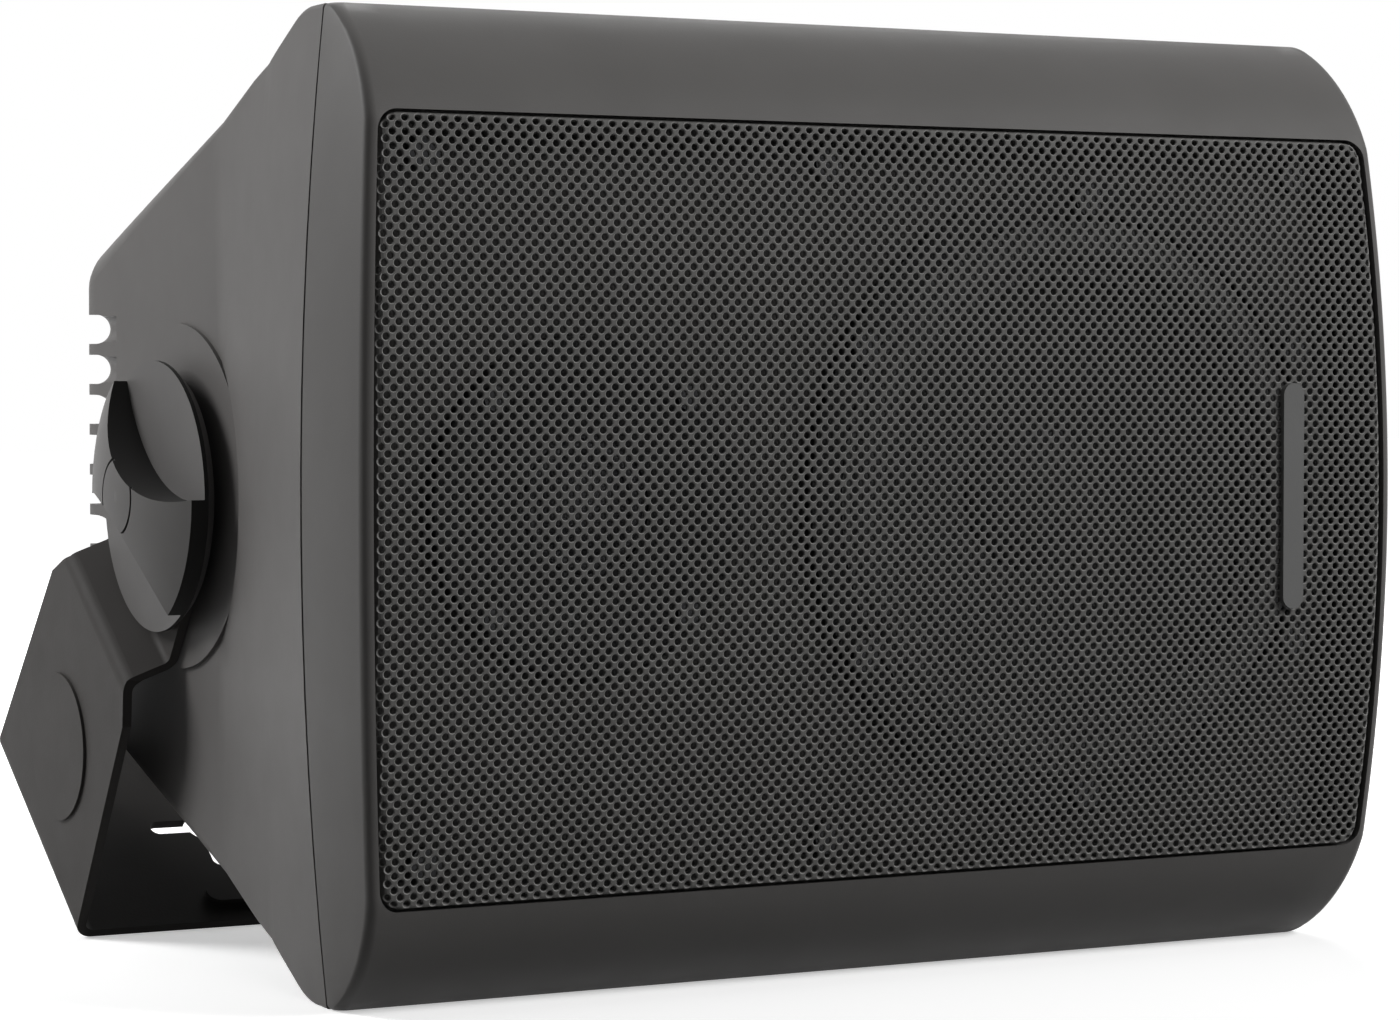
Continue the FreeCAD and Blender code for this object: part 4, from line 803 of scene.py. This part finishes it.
def build_camera():
    """The camera, at the angle from which the object is shown."""
    camera = bpy.data.cameras.new("camera")
    camera.lens = CAMERA_LENS
    camera.sensor_width = SENSOR_WIDTH
    level = math.cos(CAMERA_PITCH)
    forward = Vector((math.sin(CAMERA_YAW) * level, math.cos(CAMERA_YAW) * level, math.sin(CAMERA_PITCH)))
    bpy.context.scene.camera = place_on_stage("camera", camera, CAMERA_PLACE, forward)


def area_light(name, place, size, power):
    """A square lamp aimed at the object, unseen by the camera."""
    light = bpy.data.lights.new(name, "AREA")
    light.size = size
    light.energy = power
    lamp = place_on_stage(name, light, place, LAMP_AIM - Vector(place))
    lamp.visible_camera = False


build_camera()
area_light("key", place=(-0.72, 0.54, 0.58), size=0.4, power=6.6)
area_light("top", place=(0.0, 0.0, 1.20), size=0.8, power=1.6)
area_light("front", place=(1.20, -1.30, 1.15), size=0.9, power=32.0)
area_light("back", place=(0.80, 1.50, 1.00), size=0.9, power=10.0)


# Floor and world

FLOOR_HALF = 6.0
FLOOR_TONE = 1.0
FLOOR_BOUNCE = 0.1
FLOOR_GLOW = 0.44
GLOW_NEAR = 0.3
GLOW_FAR = 0.8
WORLD_FILL = 0.04
WHITE = 1.0


def seen_directly(tree):
    """One where a ray comes straight from the camera, a reflection or a clear body."""
    path = tree.nodes.new("ShaderNodeLightPath")
    total = path.outputs["Is Camera Ray"]
    for name in ("Is Glossy Ray", "Is Transmission Ray"):
        total = calculate(tree, "MAXIMUM", total, path.outputs[name])
    return total


def floor_glow(tree):
    """Glow of the floor, which grows to white away from the object."""
    reach = tree.nodes.new("ShaderNodeVectorMath")
    reach.operation = "LENGTH"
    tree.links.new(tree.nodes.new("ShaderNodeTexCoord").outputs["Object"], reach.inputs[0])
    level = map_range(tree, reach.outputs["Value"], FLOOR_GLOW, WHITE)
    level.interpolation_type = "SMOOTHSTEP"
    level.inputs["From Min"].default_value = GLOW_NEAR
    level.inputs["From Max"].default_value = GLOW_FAR
    return level.outputs["Result"]


def floor_finish():
    """A pale floor that takes shadows and throws little light back."""
    material = bpy.data.materials.new("floor")
    material.use_nodes = True
    tree = material.node_tree
    tree.nodes.clear()
    direct = seen_directly(tree)
    paint = tree.nodes.new("ShaderNodeBsdfDiffuse")
    tone = map_range(tree, direct, FLOOR_BOUNCE, FLOOR_TONE)
    tree.links.new(tone.outputs["Result"], paint.inputs["Color"])
    glow = tree.nodes.new("ShaderNodeEmission")
    tree.links.new(calculate(tree, "MULTIPLY", direct, floor_glow(tree)), glow.inputs["Strength"])
    both = tree.nodes.new("ShaderNodeAddShader")
    tree.links.new(paint.outputs[0], both.inputs[0])
    tree.links.new(glow.outputs[0], both.inputs[1])
    end = tree.nodes.new("ShaderNodeOutputMaterial")
    tree.links.new(both.outputs[0], end.inputs["Surface"])
    return material


def build_floor():
    """A plain square floor under the object."""
    mesh = bpy.data.meshes.new("floor")
    half = FLOOR_HALF
    corners = [(-half, -half, 0), (half, -half, 0), (half, half, 0), (-half, half, 0)]
    mesh.from_pydata(corners, [], [(0, 1, 2, 3)])
    mesh.materials.append(floor_finish())
    floor = bpy.data.objects.new("floor", mesh)
    bpy.context.scene.collection.objects.link(floor)


def build_world():
    """White where it is seen, and a faint fill where it lights the object."""
    world = bpy.data.worlds.new("studio")
    world.use_nodes = True
    tree = world.node_tree
    background = tree.nodes["Background"]
    background.inputs["Color"].default_value = (1, 1, 1, 1)
    strength = map_range(tree, seen_directly(tree), WORLD_FILL, WHITE)
    tree.links.new(strength.outputs["Result"], background.inputs["Strength"])
    bpy.context.scene.world = world


build_floor()
build_world()
bpy.context.scene.view_settings.view_transform = "Standard"
